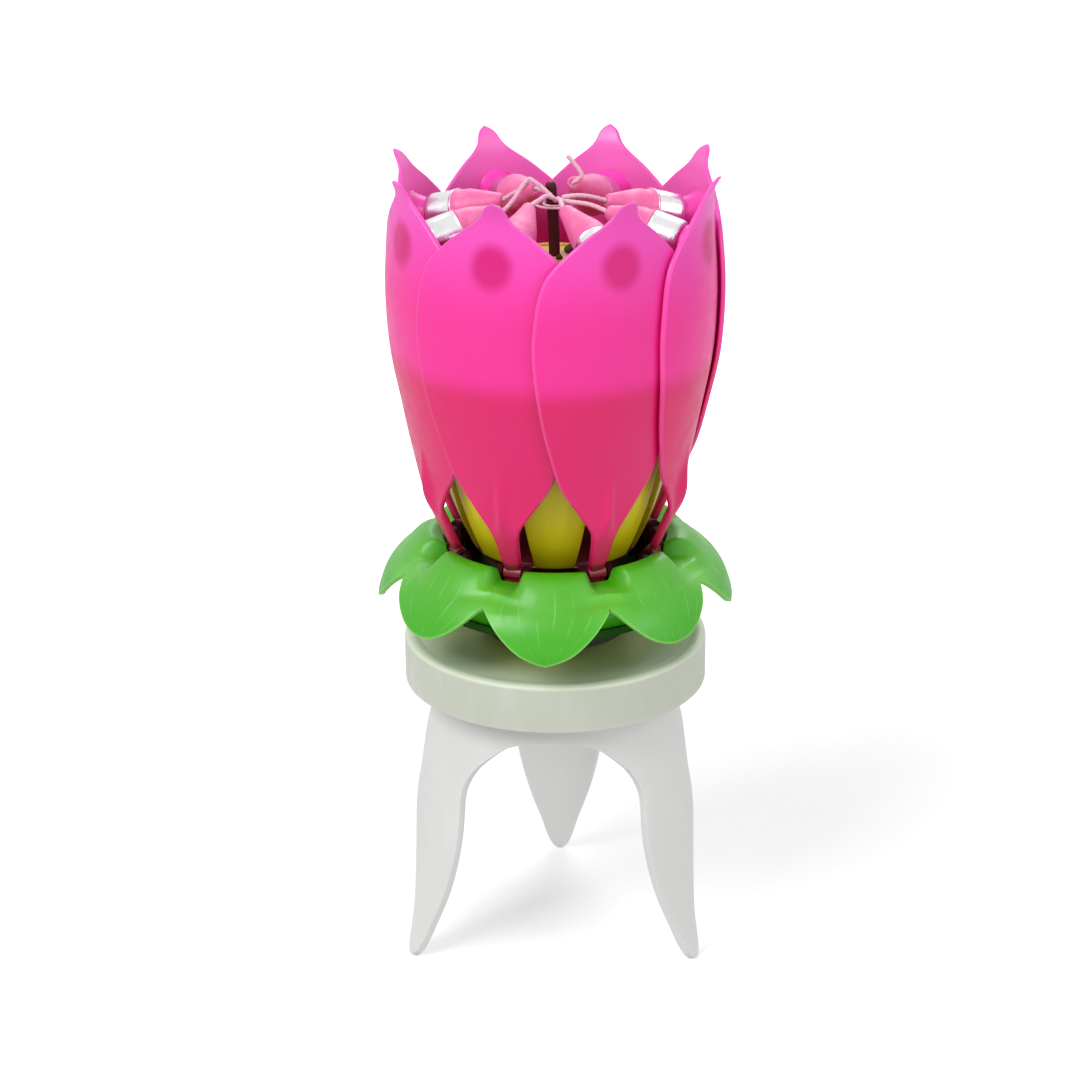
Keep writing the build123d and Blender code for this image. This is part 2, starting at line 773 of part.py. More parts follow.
outline_rows = [
    (width_share * petal_half_width, hinge_level + height_share * petal_height)
    for height_share, width_share in petal_outline_shares
]
right_outline = [(lean + width, level) for lean, (width, level) in zip(lean_rows, outline_rows)]
left_outline = [(lean - width, level) for lean, (width, level) in zip(lean_rows, outline_rows)]
rib_rows = [row for row in petal_radius_shares if row[0] <= rib_top_share]
rib_outer = [
    (radius_share * petal_half_width + rib_proud * (1 - height_share / rib_top_share),
     hinge_level + height_share * petal_height)
    for height_share, radius_share in rib_rows
]
rib_inner = [(radius - stalk_thickness, level) for radius, level in rib_outer]
sweep_start = (cos(radians(petal_sweep / 2)), -sin(radians(petal_sweep / 2)))
petal_plane = Plane(
    origin=(0, -petal_pitch_offset, 0),
    x_dir=(sweep_start[0], sweep_start[1], 0),
    z_dir=(sweep_start[1], -sweep_start[0], 0),
)
cup_axis = (-cos(radians(candle_tilt)), 0, sin(radians(candle_tilt)))
cup_plane = Plane(origin=(cup_seat_radius, 0, cup_seat_height), x_dir=(0, 1, 0), z_dir=cup_axis)
post_foot = (cup_seat_radius + post_foot_reach, 0, cup_seat_height + post_foot_rise)
post_run = hypot(post_foot_reach, post_foot_rise)
post_plane = Plane(origin=post_foot, x_dir=(0, 1, 0), z_dir=(-post_foot_reach, 0, -post_foot_rise))

with BuildPart() as candle_post:
    with BuildSketch(post_plane):
        Circle(post_foot_radius)
    with BuildSketch(post_plane.offset(post_run)):
        Circle(post_head_radius)
    loft()
    with BuildSketch(cup_plane):
        Circle(post_foot_radius + cup_radius)
    extrude(amount=cup_radius, mode=Mode.SUBTRACT)
    with BuildSketch(petal_plane):
        with BuildLine():
            wall_middle = Spline(*[(radius - petal_wall / 2, level) for radius, level in petal_outer])
            Polyline(wall_middle @ 0, (0, hinge_level), (0, petal_top), wall_middle @ 1)
        make_face()
    revolve(axis=petal_axis, revolution_arc=petal_sweep, mode=Mode.INTERSECT)

with BuildPart() as petal:
    with BuildSketch(petal_plane):
        with BuildLine():
            outer_wall = Spline(*petal_outer)
            inner_wall = Spline(*petal_inner)
            Line(outer_wall @ 0, inner_wall @ 0)
            Line(outer_wall @ 1, inner_wall @ 1)
        make_face()
    revolve(axis=petal_axis, revolution_arc=petal_sweep)
    with BuildSketch(facing(0)):
        with BuildLine():
            right_edge = Spline(*right_outline)
            left_edge = Spline(*left_outline)
            Line(right_edge @ 0, left_edge @ 0)
        make_face()
    extrude(amount=calyx_tip_radius + petal_half_width, mode=Mode.INTERSECT)
    with BuildSketch(upright(0, stalk_half_width)):
        with BuildLine():
            stalk_front = Spline(*rib_outer[:stalk_row_count])
            stalk_back = Spline(*rib_inner[:stalk_row_count])
            Line(stalk_front @ 0, stalk_back @ 0)
            Line(stalk_front @ 1, stalk_back @ 1)
        make_face()
    extrude(amount=2 * stalk_half_width)
    with BuildSketch(upright(0, rib_half_width)):
        with BuildLine():
            rib_front = Spline(*rib_outer)
            rib_back = Spline(*rib_inner)
            Line(rib_front @ 0, rib_back @ 0)
            Line(rib_front @ 1, rib_back @ 1)
        make_face()
    extrude(amount=2 * rib_half_width)
    with BuildSketch(upright(0, stalk_half_width)):
        with BuildLine():
            Polyline(
                (heel_outer_face, hinge_level),
                (heel_outer_face, heel_bottom + heel_lip),
                (heel_outer_face + heel_lip_reach, heel_bottom + heel_lip),
                (heel_outer_face + heel_lip_reach, heel_bottom),
                (heel_outer_face - heel_thickness, heel_bottom),
                (heel_outer_face - heel_thickness, hinge_level),
                close=True,
            )
        make_face()
    extrude(amount=2 * stalk_half_width)
    with BuildSketch(upright(0, knuckle_half_length)):
        with Locations((hinge_circle, hinge_level)):
            Circle(knuckle_radius)
    extrude(amount=2 * knuckle_half_length)
    with BuildSketch(upright(0, knuckle_half_length)):
        with Locations((hinge_circle, hinge_level)):
            Circle(pin_radius + running_gap)
    extrude(amount=2 * knuckle_half_length, mode=Mode.SUBTRACT)
    add(candle_post.part)

# Candle unit, drawn about the same +X petal: a thin metal cup and the wax candle in it, which has
# its wick cast in.
with BuildPart() as candle_cup:
    with BuildSketch(cup_plane):
        Circle(cup_radius)
    extrude(amount=cup_length)
    with BuildSketch(cup_plane.offset(cup_floor)):
        Circle(cup_radius - cup_wall)
    extrude(amount=cup_length, mode=Mode.SUBTRACT)
    with BuildSketch(cup_plane.offset(cup_length - cup_bead)):
        Circle(cup_radius + cup_bead)
        Circle(cup_radius - cup_wall, mode=Mode.SUBTRACT)
    extrude(amount=cup_bead)

candle_radius = cup_radius - cup_wall - running_gap
wick_length = (cup_seat_radius - wick_end_radius) / cos(radians(candle_tilt)) - candle_length
candle_side_plane = Plane(
    origin=(cup_seat_radius, 0, cup_seat_height),
    x_dir=(sin(radians(candle_tilt)), 0, cos(radians(candle_tilt))),
    z_dir=(0, -1, 0),
)
candle_line = Axis((cup_seat_radius, 0, cup_seat_height), cup_axis)
with BuildPart() as candle:
    with BuildSketch(candle_side_plane):
        with BuildLine():
            Polyline(
                (0, cup_floor),
                (candle_radius, cup_floor),
                (candle_radius, candle_straight),
                (candle_tip_radius, candle_length - candle_tip_round),
                (candle_tip_radius - candle_tip_round, candle_length),
                (wick_radius, candle_length),
                (wick_radius, candle_length + wick_length),
                (0, candle_length + wick_length),
                close=True,
            )
        make_face()
    revolve(axis=candle_line)

petal_parts = {"petal": petal, "candle_cup": candle_cup, "candle": candle}
for index, angle in enumerate(petal_angles, start=1):
    for name, pattern in petal_parts.items():
        with BuildPart() as turned:
            add(pattern.part.rotate(Axis.Z, angle))
        finish(turned, f"{name}_{index}")

# Calyx: a ring of eight drooping sepals on a round foot. A shallow trough between each pair of
# sepals lets the stalk of a petal lie down.
# Each row is a share of the reach from the lip to the tip and a share of the droop below the crest.
calyx_profile_shares = [
    (0.0, 0.07), (0.16, 0.0), (0.35, 0.04), (0.53, 0.18), (0.667, 0.323), (0.806, 0.46), (0.907, 0.605),
    (0.963, 0.742), (1.0, 0.887), (0.981, 1.0),
]
# Each row is a share of the notch's half width at its mouth and a share of its height.
calyx_notch_shares = [(1.0, 0.0), (0.78, 0.14), (0.55, 0.33), (0.33, 0.56), (0.15, 0.8), (0.0, 1.0)]
calyx_crest = hub_top + calyx_crest_height
calyx_tip = calyx_crest - calyx_drop
calyx_reach = calyx_tip_radius - calyx_lip_radius
calyx_outer = [
    (calyx_lip_radius + reach_share * calyx_reach, calyx_crest - drop_share * calyx_drop)
    for reach_share, drop_share in calyx_profile_shares
]
calyx_inner = inner_line(calyx_outer, calyx_wall)
calyx_step = 360 / calyx_count
trough_end_radius = calyx_lip_radius + trough_reach_share * calyx_reach
calyx_valleys = [-90 + calyx_turn + calyx_step * (index + 1 / 2) for index in range(calyx_count)]
trough_start_level = calyx_crest - trough_depth
trough_end_level = trough_start_level - trough_fall
trough_knee = (calyx_lip_radius + trough_end_radius) / 2
trough_knee_level = trough_start_level - trough_fall * trough_knee_share
notch_points = [
    (width_share * calyx_notch_half_width, calyx_tip + height_share * calyx_notch_height)
    for width_share, height_share in calyx_notch_shares
]

with BuildPart() as trough_space:
    for valley in calyx_valleys:
        with BuildSketch(facing(valley, calyx_foot_radius / 2)):
            with Locations((0, calyx_crest)):
                Rectangle(2 * trough_half_width, 2 * calyx_drop)
        extrude(amount=calyx_tip_radius)
    with BuildSketch(upright(0)):
        with BuildLine():
            trough_floor = Spline(
                (calyx_lip_radius - cut_overrun, trough_start_level),
                (trough_knee, trough_knee_level),
                (trough_end_radius, trough_end_level),
            )
            Polyline(
                trough_floor @ 1,
                (trough_end_radius, calyx_crest + cut_overrun),
                (calyx_lip_radius - cut_overrun, calyx_crest + cut_overrun),
                trough_floor @ 0,
            )
        make_face()
    revolve(axis=Axis.Z, mode=Mode.INTERSECT)

with BuildPart() as trough_walls:
    for valley in calyx_valleys:
        with BuildSketch(facing(valley, calyx_foot_radius / 2)):
            with Locations((0, calyx_crest)):
                Rectangle(2 * (trough_half_width + calyx_wall), 2 * calyx_drop)
        extrude(amount=calyx_tip_radius)
    with BuildSketch(upright(0)):
        with BuildLine():
            crest_line = Spline(*calyx_outer[:trough_wall_row + 1])
            floor_line = Spline(
                (calyx_lip_radius, trough_start_level - calyx_wall),
                (trough_knee, trough_knee_level - calyx_wall),
                (calyx_outer[trough_wall_row][0], calyx_inner[trough_wall_row][1]),
            )
            Line(crest_line @ 0, floor_line @ 0)
            Line(crest_line @ 1, floor_line @ 1)
        make_face()
    revolve(axis=Axis.Z, mode=Mode.INTERSECT)

with BuildPart() as calyx:
    with BuildSketch(upright(0)):
        with BuildLine():
            upper = Spline(*calyx_outer)
            lower = Spline(*calyx_inner)
            Line(upper @ 0, lower @ 0)
            Line(upper @ 1, lower @ 1)
        make_face()
    revolve(axis=Axis.Z)
    with BuildSketch(Plane.XY.offset(hub_top)):
        Circle(calyx_foot_radius)
        Circle(calyx_foot_radius - calyx_wall, mode=Mode.SUBTRACT)
    extrude(amount=calyx_outer[1][1] - calyx_wall / 2 - hub_top)
    add(trough_walls.part)
    add(trough_space.part, mode=Mode.SUBTRACT)
    for valley in calyx_valleys:
        with BuildSketch(facing(valley, calyx_foot_radius)):
            with BuildLine():
                notch_side = Spline(*notch_points)
                Polyline(
                    notch_side @ 0,
                    (calyx_notch_half_width, calyx_tip - cut_overrun),
                    (0, calyx_tip - cut_overrun),
                )
                mirror(about=Plane.YZ)
            make_face()
        extrude(amount=calyx_tip_radius, mode=Mode.SUBTRACT)
finish(calyx, "calyx")

# Inner crown: a flared cup of eight narrow lobes round the fountain tube.
# Each row is a share of the gap's half width and a share of the crown's height.
crown_gap_shares = [
    (0.6, 0.03), (1.0, 0.07), (0.88, 0.14), (0.67, 0.28), (0.47, 0.5), (0.42, 0.8), (0.5, 1.0),
]
crown_top = crown_bottom + crown_height
gap_points = [
    (width_share * crown_gap_half_width, crown_bottom + height_share * crown_height)
    for width_share, height_share in crown_gap_shares
]
with BuildPart() as stamen_crown:
    with BuildSketch(upright(0)):
        with BuildLine():
            Polyline(
                (tube_radius + slip_gap, crown_bottom),
                (crown_foot_radius, crown_bottom),
                (crown_rim_radius, crown_top),
                (crown_rim_radius - crown_wall, crown_top),
                (crown_foot_radius - crown_wall, crown_bottom + crown_plate),
                (tube_radius + slip_gap, crown_bottom + crown_plate),
                close=True,
            )
        make_face()
    revolve(axis=Axis.Z)
    for angle in petal_angles:
        with BuildSketch(facing(angle, tube_radius)):
            with BuildLine():
                gap_side = Spline(*gap_points)
                Polyline(gap_side @ 0, (0, gap_points[0][1]))
                Polyline(
                    gap_side @ 1,
                    (gap_points[-1][0], crown_top + cut_overrun),
                    (0, crown_top + cut_overrun),
                )
                mirror(about=Plane.YZ)
            make_face()
        extrude(amount=crown_rim_radius, mode=Mode.SUBTRACT)
    with BuildSketch(Plane.XY.offset(crown_bottom)):
        with Locations(*post_points):
            Circle(screw_head_radius + slip_gap)
    extrude(amount=crown_plate, mode=Mode.SUBTRACT)
finish(stamen_crown, "stamen_crown")

# Fountain tube with its clay plug, packed charge and pierced cap.
tube_bore = tube_radius - tube_wall
cap_top = tube_top - tube_lip
cap_bottom = cap_top - cap_thickness
charge_bottom = cap_bottom - charge_height
with BuildPart() as fountain_tube:
    with BuildSketch(Plane.XY.offset(lid_top)):
        Circle(tube_radius)
        Circle(tube_bore, mode=Mode.SUBTRACT)
    extrude(amount=tube_height)
    fillet(fountain_tube.edges().group_by(Axis.Z)[-1], tube_round)
finish(fountain_tube, "fountain_tube")

with BuildPart() as clay_plug:
    with BuildSketch(Plane.XY.offset(charge_bottom)):
        Circle(tube_bore - fit_gap)
    extrude(amount=-plug_height)
finish(clay_plug, "clay_plug")

with BuildPart() as fountain_charge:
    with BuildSketch(Plane.XY.offset(charge_bottom)):
        Circle(tube_bore - fit_gap)
    extrude(amount=charge_height)
    with BuildSketch(Plane.XY.offset(cap_bottom)):
        Circle(fuse_radius + fit_gap)
    extrude(amount=-fuse_depth, mode=Mode.SUBTRACT)
finish(fountain_charge, "fountain_charge")

cap_hole_points = [around(cap_hole_circle, 360 / cap_hole_count * index) for index in range(cap_hole_count)]
with BuildPart() as fountain_cap:
    with BuildSketch(Plane.XY.offset(cap_bottom)):
        Circle(tube_bore - fit_gap)
        Circle(fuse_radius + fit_gap, mode=Mode.SUBTRACT)
        with Locations(*cap_hole_points):
            Circle(cap_hole_radius, mode=Mode.SUBTRACT)
    extrude(amount=cap_thickness)
finish(fountain_cap, "fountain_cap")

# Fuse: straight through the cap, then leaning a little to one side.
fuse_top = cap_top + fuse_height
fuse_bend = cap_top + fuse_radius
fuse_sway = (fuse_top - fuse_bend) * tan(radians(fuse_lean))
with BuildPart() as fuse:
    with BuildLine():
        FilletPolyline(
            (0, 0, cap_bottom - fuse_depth),
            (0, 0, fuse_bend),
            (-fuse_sway, 0, fuse_top),
            radius=fuse_bend_radius,
        )
    with BuildSketch(Plane.XY.offset(cap_bottom - fuse_depth)):
        Circle(fuse_radius)
    sweep()
finish(fuse, "fuse")

# Tie thread: a loop under the ends of the wicks, a loop round the fuse and the strand between them.
wick_underside = (
    cup_seat_height
    + (cup_seat_radius - thread_circle) * tan(radians(candle_tilt))
    - wick_radius / cos(radians(candle_tilt))
)
thread_level = wick_underside - thread_radius - thread_gap
inner_thread_circle = fuse_radius + fuse_sway + thread_radius
with BuildPart() as tie_thread:
    with BuildSketch(upright(0)):
        with Locations((thread_circle, thread_level), (inner_thread_circle, thread_level)):
            Circle(thread_radius)
    revolve(axis=Axis.Z)
    with BuildSketch(facing(0, inner_thread_circle)):
        with Locations((0, thread_level)):
            Circle(thread_radius)
    extrude(amount=thread_circle - inner_thread_circle)
finish(tie_thread, "tie_thread")
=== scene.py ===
import math

import bpy
import numpy as np
from mathutils import Matrix, Vector


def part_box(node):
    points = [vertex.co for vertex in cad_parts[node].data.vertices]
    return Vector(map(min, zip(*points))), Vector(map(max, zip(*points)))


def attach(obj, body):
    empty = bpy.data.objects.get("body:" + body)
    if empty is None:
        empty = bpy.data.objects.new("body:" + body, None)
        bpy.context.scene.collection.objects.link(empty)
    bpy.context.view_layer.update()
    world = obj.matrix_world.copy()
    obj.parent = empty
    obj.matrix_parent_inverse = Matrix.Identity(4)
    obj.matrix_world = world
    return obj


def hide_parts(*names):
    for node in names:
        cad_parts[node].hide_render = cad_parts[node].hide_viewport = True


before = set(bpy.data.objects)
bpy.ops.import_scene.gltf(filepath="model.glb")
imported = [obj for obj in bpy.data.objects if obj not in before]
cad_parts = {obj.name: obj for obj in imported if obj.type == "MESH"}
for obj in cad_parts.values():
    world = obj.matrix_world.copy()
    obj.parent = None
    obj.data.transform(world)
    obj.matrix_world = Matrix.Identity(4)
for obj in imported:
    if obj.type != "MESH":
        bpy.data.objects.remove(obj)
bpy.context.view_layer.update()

MM = 0.001

# Sizes of the object in millimetres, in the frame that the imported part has
PETAL_COUNT = 8
PETAL_STEP = 360 / PETAL_COUNT
HALF_STEP = PETAL_STEP / 2
FIRST_PETAL_ANGLE = -67.5
PETAL_ANGLES = [FIRST_PETAL_ANGLE + PETAL_STEP * k for k in range(PETAL_COUNT)]
HINGE_CIRCLE = 16.9
HINGE_LEVEL = 70.4
PETAL_TOP = 133.2
PETAL_HEIGHT = PETAL_TOP - HINGE_LEVEL
PETAL_HALF_WIDTH = 13.3
PETAL_WALL = 0.7
PETAL_OFFSET = 1.6
PETAL_LEAN, LEAN_START = 1.3, 0.72
CANDLE_TILT = math.radians(14.0)
CUP_SEAT = (21.2, 122.7)

# -------- curves and meshes
WELD_DISTANCE = 0.002
CURVE_SAMPLES = 800
SHARP_ANGLE = math.radians(50)
CORNER_SHARE = 0.45                 # how much of a side the rounding of one corner may take


def spline(points):
    """A natural cubic through the points, read by its share of the chord length."""
    p = np.array(points, float)
    step = np.sqrt(((p[1:] - p[:-1]) ** 2).sum(1))
    knots = np.concatenate([[0.0], np.cumsum(step)])
    n = len(p)
    left = np.zeros((n, n))
    right = np.zeros_like(p)
    left[0, 0] = left[-1, -1] = 1.0
    for i in range(1, n - 1):
        left[i, i - 1] = step[i - 1]
        left[i, i] = 2 * (step[i - 1] + step[i])
        left[i, i + 1] = step[i]
        right[i] = 6 * ((p[i + 1] - p[i]) / step[i] - (p[i] - p[i - 1]) / step[i - 1])
    bend = np.linalg.solve(left, right)

    def at(share):
        x = np.asarray(share, float) * knots[-1]
        i = np.clip(np.searchsorted(knots, x, side="right") - 1, 0, n - 2)
        h = step[i][..., None]
        a = ((knots[i + 1] - x) / step[i])[..., None]
        b = ((x - knots[i]) / step[i])[..., None]
        return a * p[i] + b * p[i + 1] + ((a ** 3 - a) * bend[i] + (b ** 3 - b) * bend[i + 1]) * h ** 2 / 6

    return at


def by_height(points):
    """The first coordinate of a rising curve as a function of its second."""
    dense = spline(points)(np.linspace(0, 1, CURVE_SAMPLES))
    return lambda z: np.interp(z, dense[:, 1], dense[:, 0])


def scaled(shares, across, levels):
    """Pairs of shares, each from the first to the second of two sizes."""
    return [(across[0] + a * (across[1] - across[0]), levels[0] + b * (levels[1] - levels[0]))
            for a, b in shares]


def smooth(low, high, x):
    """A soft step from 0 to 1 as x goes from low to high."""
    t = np.clip((np.asarray(x, float) - low) / (high - low), 0, 1)
    return t * t * (3 - 2 * t)


def turned(points, angle):
    """Points turned about the head's axis, by an angle in degrees."""
    c, s = math.cos(math.radians(angle)), math.sin(math.radians(angle))
    p = np.asarray(points, float)
    return np.stack([p[..., 0] * c - p[..., 1] * s, p[..., 0] * s + p[..., 1] * c, p[..., 2]], -1)


def circle(count):
    """Angles once round, without the last."""
    return np.linspace(0, 2 * math.pi, count, endpoint=False)


class Shape:
    """Vertices, faces and point values of one mesh, gathered from grids. Millimetres."""

    def __init__(self):
        self.points, self.faces, self.values, self.count = [], [], {}, 0

    def grid(self, rows, loop=False, ring=False, cap_start=False, cap_end=False, **values):
        """A grid of quads. loop closes each row on itself and ring closes the last row on the first."""
        rows = np.asarray(rows, float)
        n, m = rows.shape[:2]
        start = self.count
        self.points.append(rows.reshape(-1, 3))
        self.count += n * m
        for name in set(values) | set(self.values):
            if name not in self.values:
                self.values[name] = [np.zeros(start)]
            one = values.get(name, 0.0)
            self.values[name].append(np.broadcast_to(np.asarray(one, float), (n, m)).reshape(-1).copy())
        for i in range(n if ring else n - 1):
            a, b = start + i * m, start + ((i + 1) % n) * m
            for j in range(m if loop else m - 1):
                k = (j + 1) % m
                self.faces.append((a + j, a + k, b + k, b + j))
        if cap_start:
            self.faces.append(tuple(start + j for j in reversed(range(m))))
        if cap_end:
            self.faces.append(tuple(start + (n - 1) * m + j for j in range(m)))
        return self

    def turned(self, angle):
        other = Shape()
        other.points = [turned(p, angle) for p in self.points]
        other.faces, other.values, other.count = self.faces, self.values, self.count
        return other

    def build(self, name, material, body, replaces=(), slot=None, weld=False):
        mesh = bpy.data.meshes.new(name)
        mesh.from_pydata((np.concatenate(self.points) * MM).tolist(), [], self.faces)
        for key, parts in self.values.items():
            layer = mesh.attributes.new(key, "FLOAT", "POINT")
            layer.data.foreach_set("value", np.concatenate(parts).astype(np.float32))
        mesh.polygons.foreach_set("use_smooth", [True] * len(mesh.polygons))
        mesh.update()
        obj = bpy.data.objects.new(name, mesh)
        bpy.context.scene.collection.objects.link(obj)
        if weld:
            joined = obj.modifiers.new("join", "WELD")
            joined.merge_threshold = WELD_DISTANCE * MM
        obj.data.materials.append(material)
        if body:
            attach(obj, body)
        if replaces:
            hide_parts(*replaces)
        return obj


def thicken(obj, wall, rounding, segments=3):
    """Give a skin its wall, on the inside, and round its edges."""
    solid = obj.modifiers.new("wall", "SOLIDIFY")
    solid.thickness = wall * MM
    solid.offset = -1
    solid.use_even_offset = False
    bevel = obj.modifiers.new("edge", "BEVEL")
    bevel.width = rounding * MM
    bevel.segments = segments
    bevel.limit_method = "ANGLE"
    bevel.angle_limit = SHARP_ANGLE
    bevel.harden_normals = False


def lathe(profile, count=64, centre=(0, 0, 0), axis=(0, 0, 1)):
    """Rows of rings for a profile of (radius, height) pairs turned about an axis."""
    z = Vector(axis).normalized()
    x = z.orthogonal().normalized()
    y = z.cross(x)
    angles = circle(count)
    ring = np.outer(np.cos(angles), np.array(x)) + np.outer(np.sin(angles), np.array(y))
    return np.array([np.array(centre) + r * ring + h * np.array(z) for r, h in profile])


def rounded(points, radius, segments=4):
    """A profile with each inner corner rounded."""
    p = [np.array(q, float) for q in points]
    out = [p[0]]
    for a, b, c in zip(p[:-2], p[1:-1], p[2:]):
        u, v = a - b, c - b
        lu, lv = np.linalg.norm(u), np.linalg.norm(v)
        r = min(radius, CORNER_SHARE * lu, CORNER_SHARE * lv)
        start, end = b + u / lu * r, b + v / lv * r
        for k in range(segments + 1):
            t = k / segments
            out.append((1 - t) ** 2 * start + 2 * t * (1 - t) * b + t * t * end)
    out.append(p[-1])
    return out


def sweep(path, outline, turn_per_mm, scale=None):
    """Rows of rings that carry a small outline along a path, turning as they go."""
    rows, done = [], 0.0
    side = None
    for i in range(len(path)):
        run = Vector(path[min(i + 1, len(path) - 1)] - path[max(i - 1, 0)]).normalized()
        if side is None:
            side = run.orthogonal().normalized()
        side = (side - run * side.dot(run)).normalized()
        over = run.cross(side)
        if i:
            done += float(np.linalg.norm(path[i] - path[i - 1]))
        c, s = math.cos(done * turn_per_mm), math.sin(done * turn_per_mm)
        k = 1.0 if scale is None else scale[i]
        u = k * (outline[:, 0] * c - outline[:, 1] * s)
        v = k * (outline[:, 0] * s + outline[:, 1] * c)
        rows.append(path[i] + np.outer(u, np.array(side)) + np.outer(v, np.array(over)))
    return np.array(rows)


def strands(radius, count, lobes=3, depth=0.28):
    """The outline of a twisted cord: a circle with a groove between its strands."""
    a = circle(count)
    r = radius * (1 - depth * 0.5 * (1 - np.abs(np.cos(a * lobes / 2))))
    return np.stack([r * np.cos(a), r * np.sin(a)], -1)


def tapered(count, before_last, last):
    """The scale of each ring of a cord that narrows over its last two."""
    return [1.0] * (count - 2) + [before_last, last]


# -------- materials
# Heights and distances along the object are in metres here, and bumps in millimetres


def linear(colour):
    """An sRGB colour, of values up to 255, as linear RGBA."""
    shares = [c / 255 for c in colour]
    return tuple(c / 12.92 if c <= 0.04045 else ((c + 0.055) / 1.055) ** 2.4 for c in shares) + (1.0,)


def feed(tree, socket, value):
    """Link an output into an input, or set the input's value."""
    if isinstance(value, bpy.types.NodeSocket):
        tree.links.new(value, socket)
    else:
        socket.default_value = value


def new_node(tree, kind, inputs=(), **settings):
    """A node with its settings and its inputs, by name or number."""
    node = tree.nodes.new(kind)
    for key, value in settings.items():
        setattr(node, key, value)
    for key, value in dict(inputs).items():
        feed(tree, node.inputs[key], value)
    return node


class Finish:
    """A small helper that lays out the nodes of one procedural material."""

    def __init__(self, name, colour, rough=0.4, metal=0.0, soft=0.0, soft_reach=1.0, coat=0.0,
                 coat_rough=0.1, sheen=0.0, specular=0.5):
        self.material = bpy.data.materials.new(name)
        self.material.use_nodes = True
        self.tree = self.material.node_tree
        self.tree.nodes.clear()
        self.shader = self.add("ShaderNodeBsdfPrincipled")
        self.add("ShaderNodeOutputMaterial", {0: self.shader.outputs[0]})
        self.colour = linear(colour)
        self.normal = None
        self.place = self.add("ShaderNodeTexCoord").outputs["Object"]
        self.put("Base Color", self.colour)
        self.put("Roughness", rough)
        self.put("Metallic", metal)
        self.put("Specular IOR Level", specular)
        if soft:
            self.put("Subsurface Weight", soft)
            self.put("Subsurface Scale", soft_reach * MM)
            self.put("Subsurface Radius", (1.0, 0.6, 0.6))
        if coat:
            self.put("Coat Weight", coat)
            self.put("Coat Roughness", coat_rough)
        if sheen:
            self.put("Sheen Weight", sheen)

    def put(self, socket, value):
        feed(self.tree, self.shader.inputs[socket], value)

    def add(self, kind, inputs=(), **settings):
        return new_node(self.tree, kind, inputs, **settings)

    def math(self, operation, *values):
        return self.add("ShaderNodeMath", enumerate(values), operation=operation).outputs[0]

    def map(self, value, low, high, to_low, to_high):
        """An output that goes smoothly from to_low to to_high as the value goes from low to high."""
        values = enumerate((value, low, high, to_low, to_high))
        return self.add("ShaderNodeMapRange", values, interpolation_type="SMOOTHSTEP").outputs[0]

    def noise(self, scale, detail, rough=0.5, stretch=(1, 1, 1), lean=0.0):
        spread = self.add("ShaderNodeMapping", {"Vector": self.place, "Scale": stretch}).outputs[0]
        inputs = {"Vector": spread, "Scale": scale, "Detail": detail, "Roughness": rough, "Distortion": lean}
        return self.add("ShaderNodeTexNoise", inputs).outputs["Fac"]

    def cells(self, scale, feature="F1"):
        inputs = {"Vector": self.place, "Scale": scale}
        return self.add("ShaderNodeTexVoronoi", inputs, feature=feature).outputs["Distance"]

    def value(self, name):
        return self.add("ShaderNodeAttribute", attribute_name=name).outputs["Fac"]

    def xyz(self):
        return self.add("ShaderNodeSeparateXYZ", {"Vector": self.place}).outputs

    def tint(self, colour, amount):
        """Mix another colour in, by a number or a socket."""
        mix = self.add("ShaderNodeMix", {0: amount, 6: self.colour, 7: linear(colour)}, data_type="RGBA")
        self.colour = mix.outputs[2]
        self.put("Base Color", self.colour)

    def wash(self, colour, value, low, high, at_low, at_high):
        """Mix another colour in by an amount that goes with a value."""
        self.tint(colour, self.map(value, low, high, at_low, at_high))

    def rough(self, value, low, high):
        """Roughness between low and high, by a noise."""
        self.put("Roughness", self.map(value, 0.3, 0.7, low, high))

    def bump(self, value, strength, reach):
        node = self.add("ShaderNodeBump", {"Strength": strength, "Distance": reach * MM, "Height": value})
        if self.normal is not None:
            feed(self.tree, node.inputs["Normal"], self.normal)
        self.normal = node.outputs[0]
        self.put("Normal", self.normal)


def moulded(name, colour, light, dark, rough=0.38, **more):
    """Moulded plastic: faint flow marks, a fine skin and uneven gloss."""
    f = Finish(name, colour, rough=rough, **more)
    f.wash(light, f.noise(120, 4, 0.55), 0.45, 0.75, 0, 0.35)
    f.wash(dark, f.noise(260, 5, 0.6, lean=0.4), 0.5, 0.8, 0, 0.3)
    f.rough(f.noise(420, 4), rough - 0.06, rough + 0.08)
    f.bump(f.noise(2600, 2), 0.25, 0.03)
    f.bump(f.noise(240, 3), 0.15, 0.12)
    return f


def metal(name, colour, dark, rough=0.28, brushed=(1, 1, 30)):
    """Drawn or turned metal, with marks that run across the axis that brushed stretches."""
    f = Finish(name, colour, rough=rough, metal=1.0)
    f.wash(dark, f.noise(700, 4, 0.6), 0.5, 0.75, 0, 0.45)
    f.rough(f.noise(900, 4, stretch=brushed), rough - 0.08, rough + 0.12)
    f.bump(f.noise(1500, 3, stretch=brushed), 0.25, 0.02)
    return f.material


SATIN = {"soft": 0.12, "coat": 0.08, "coat_rough": 0.3}


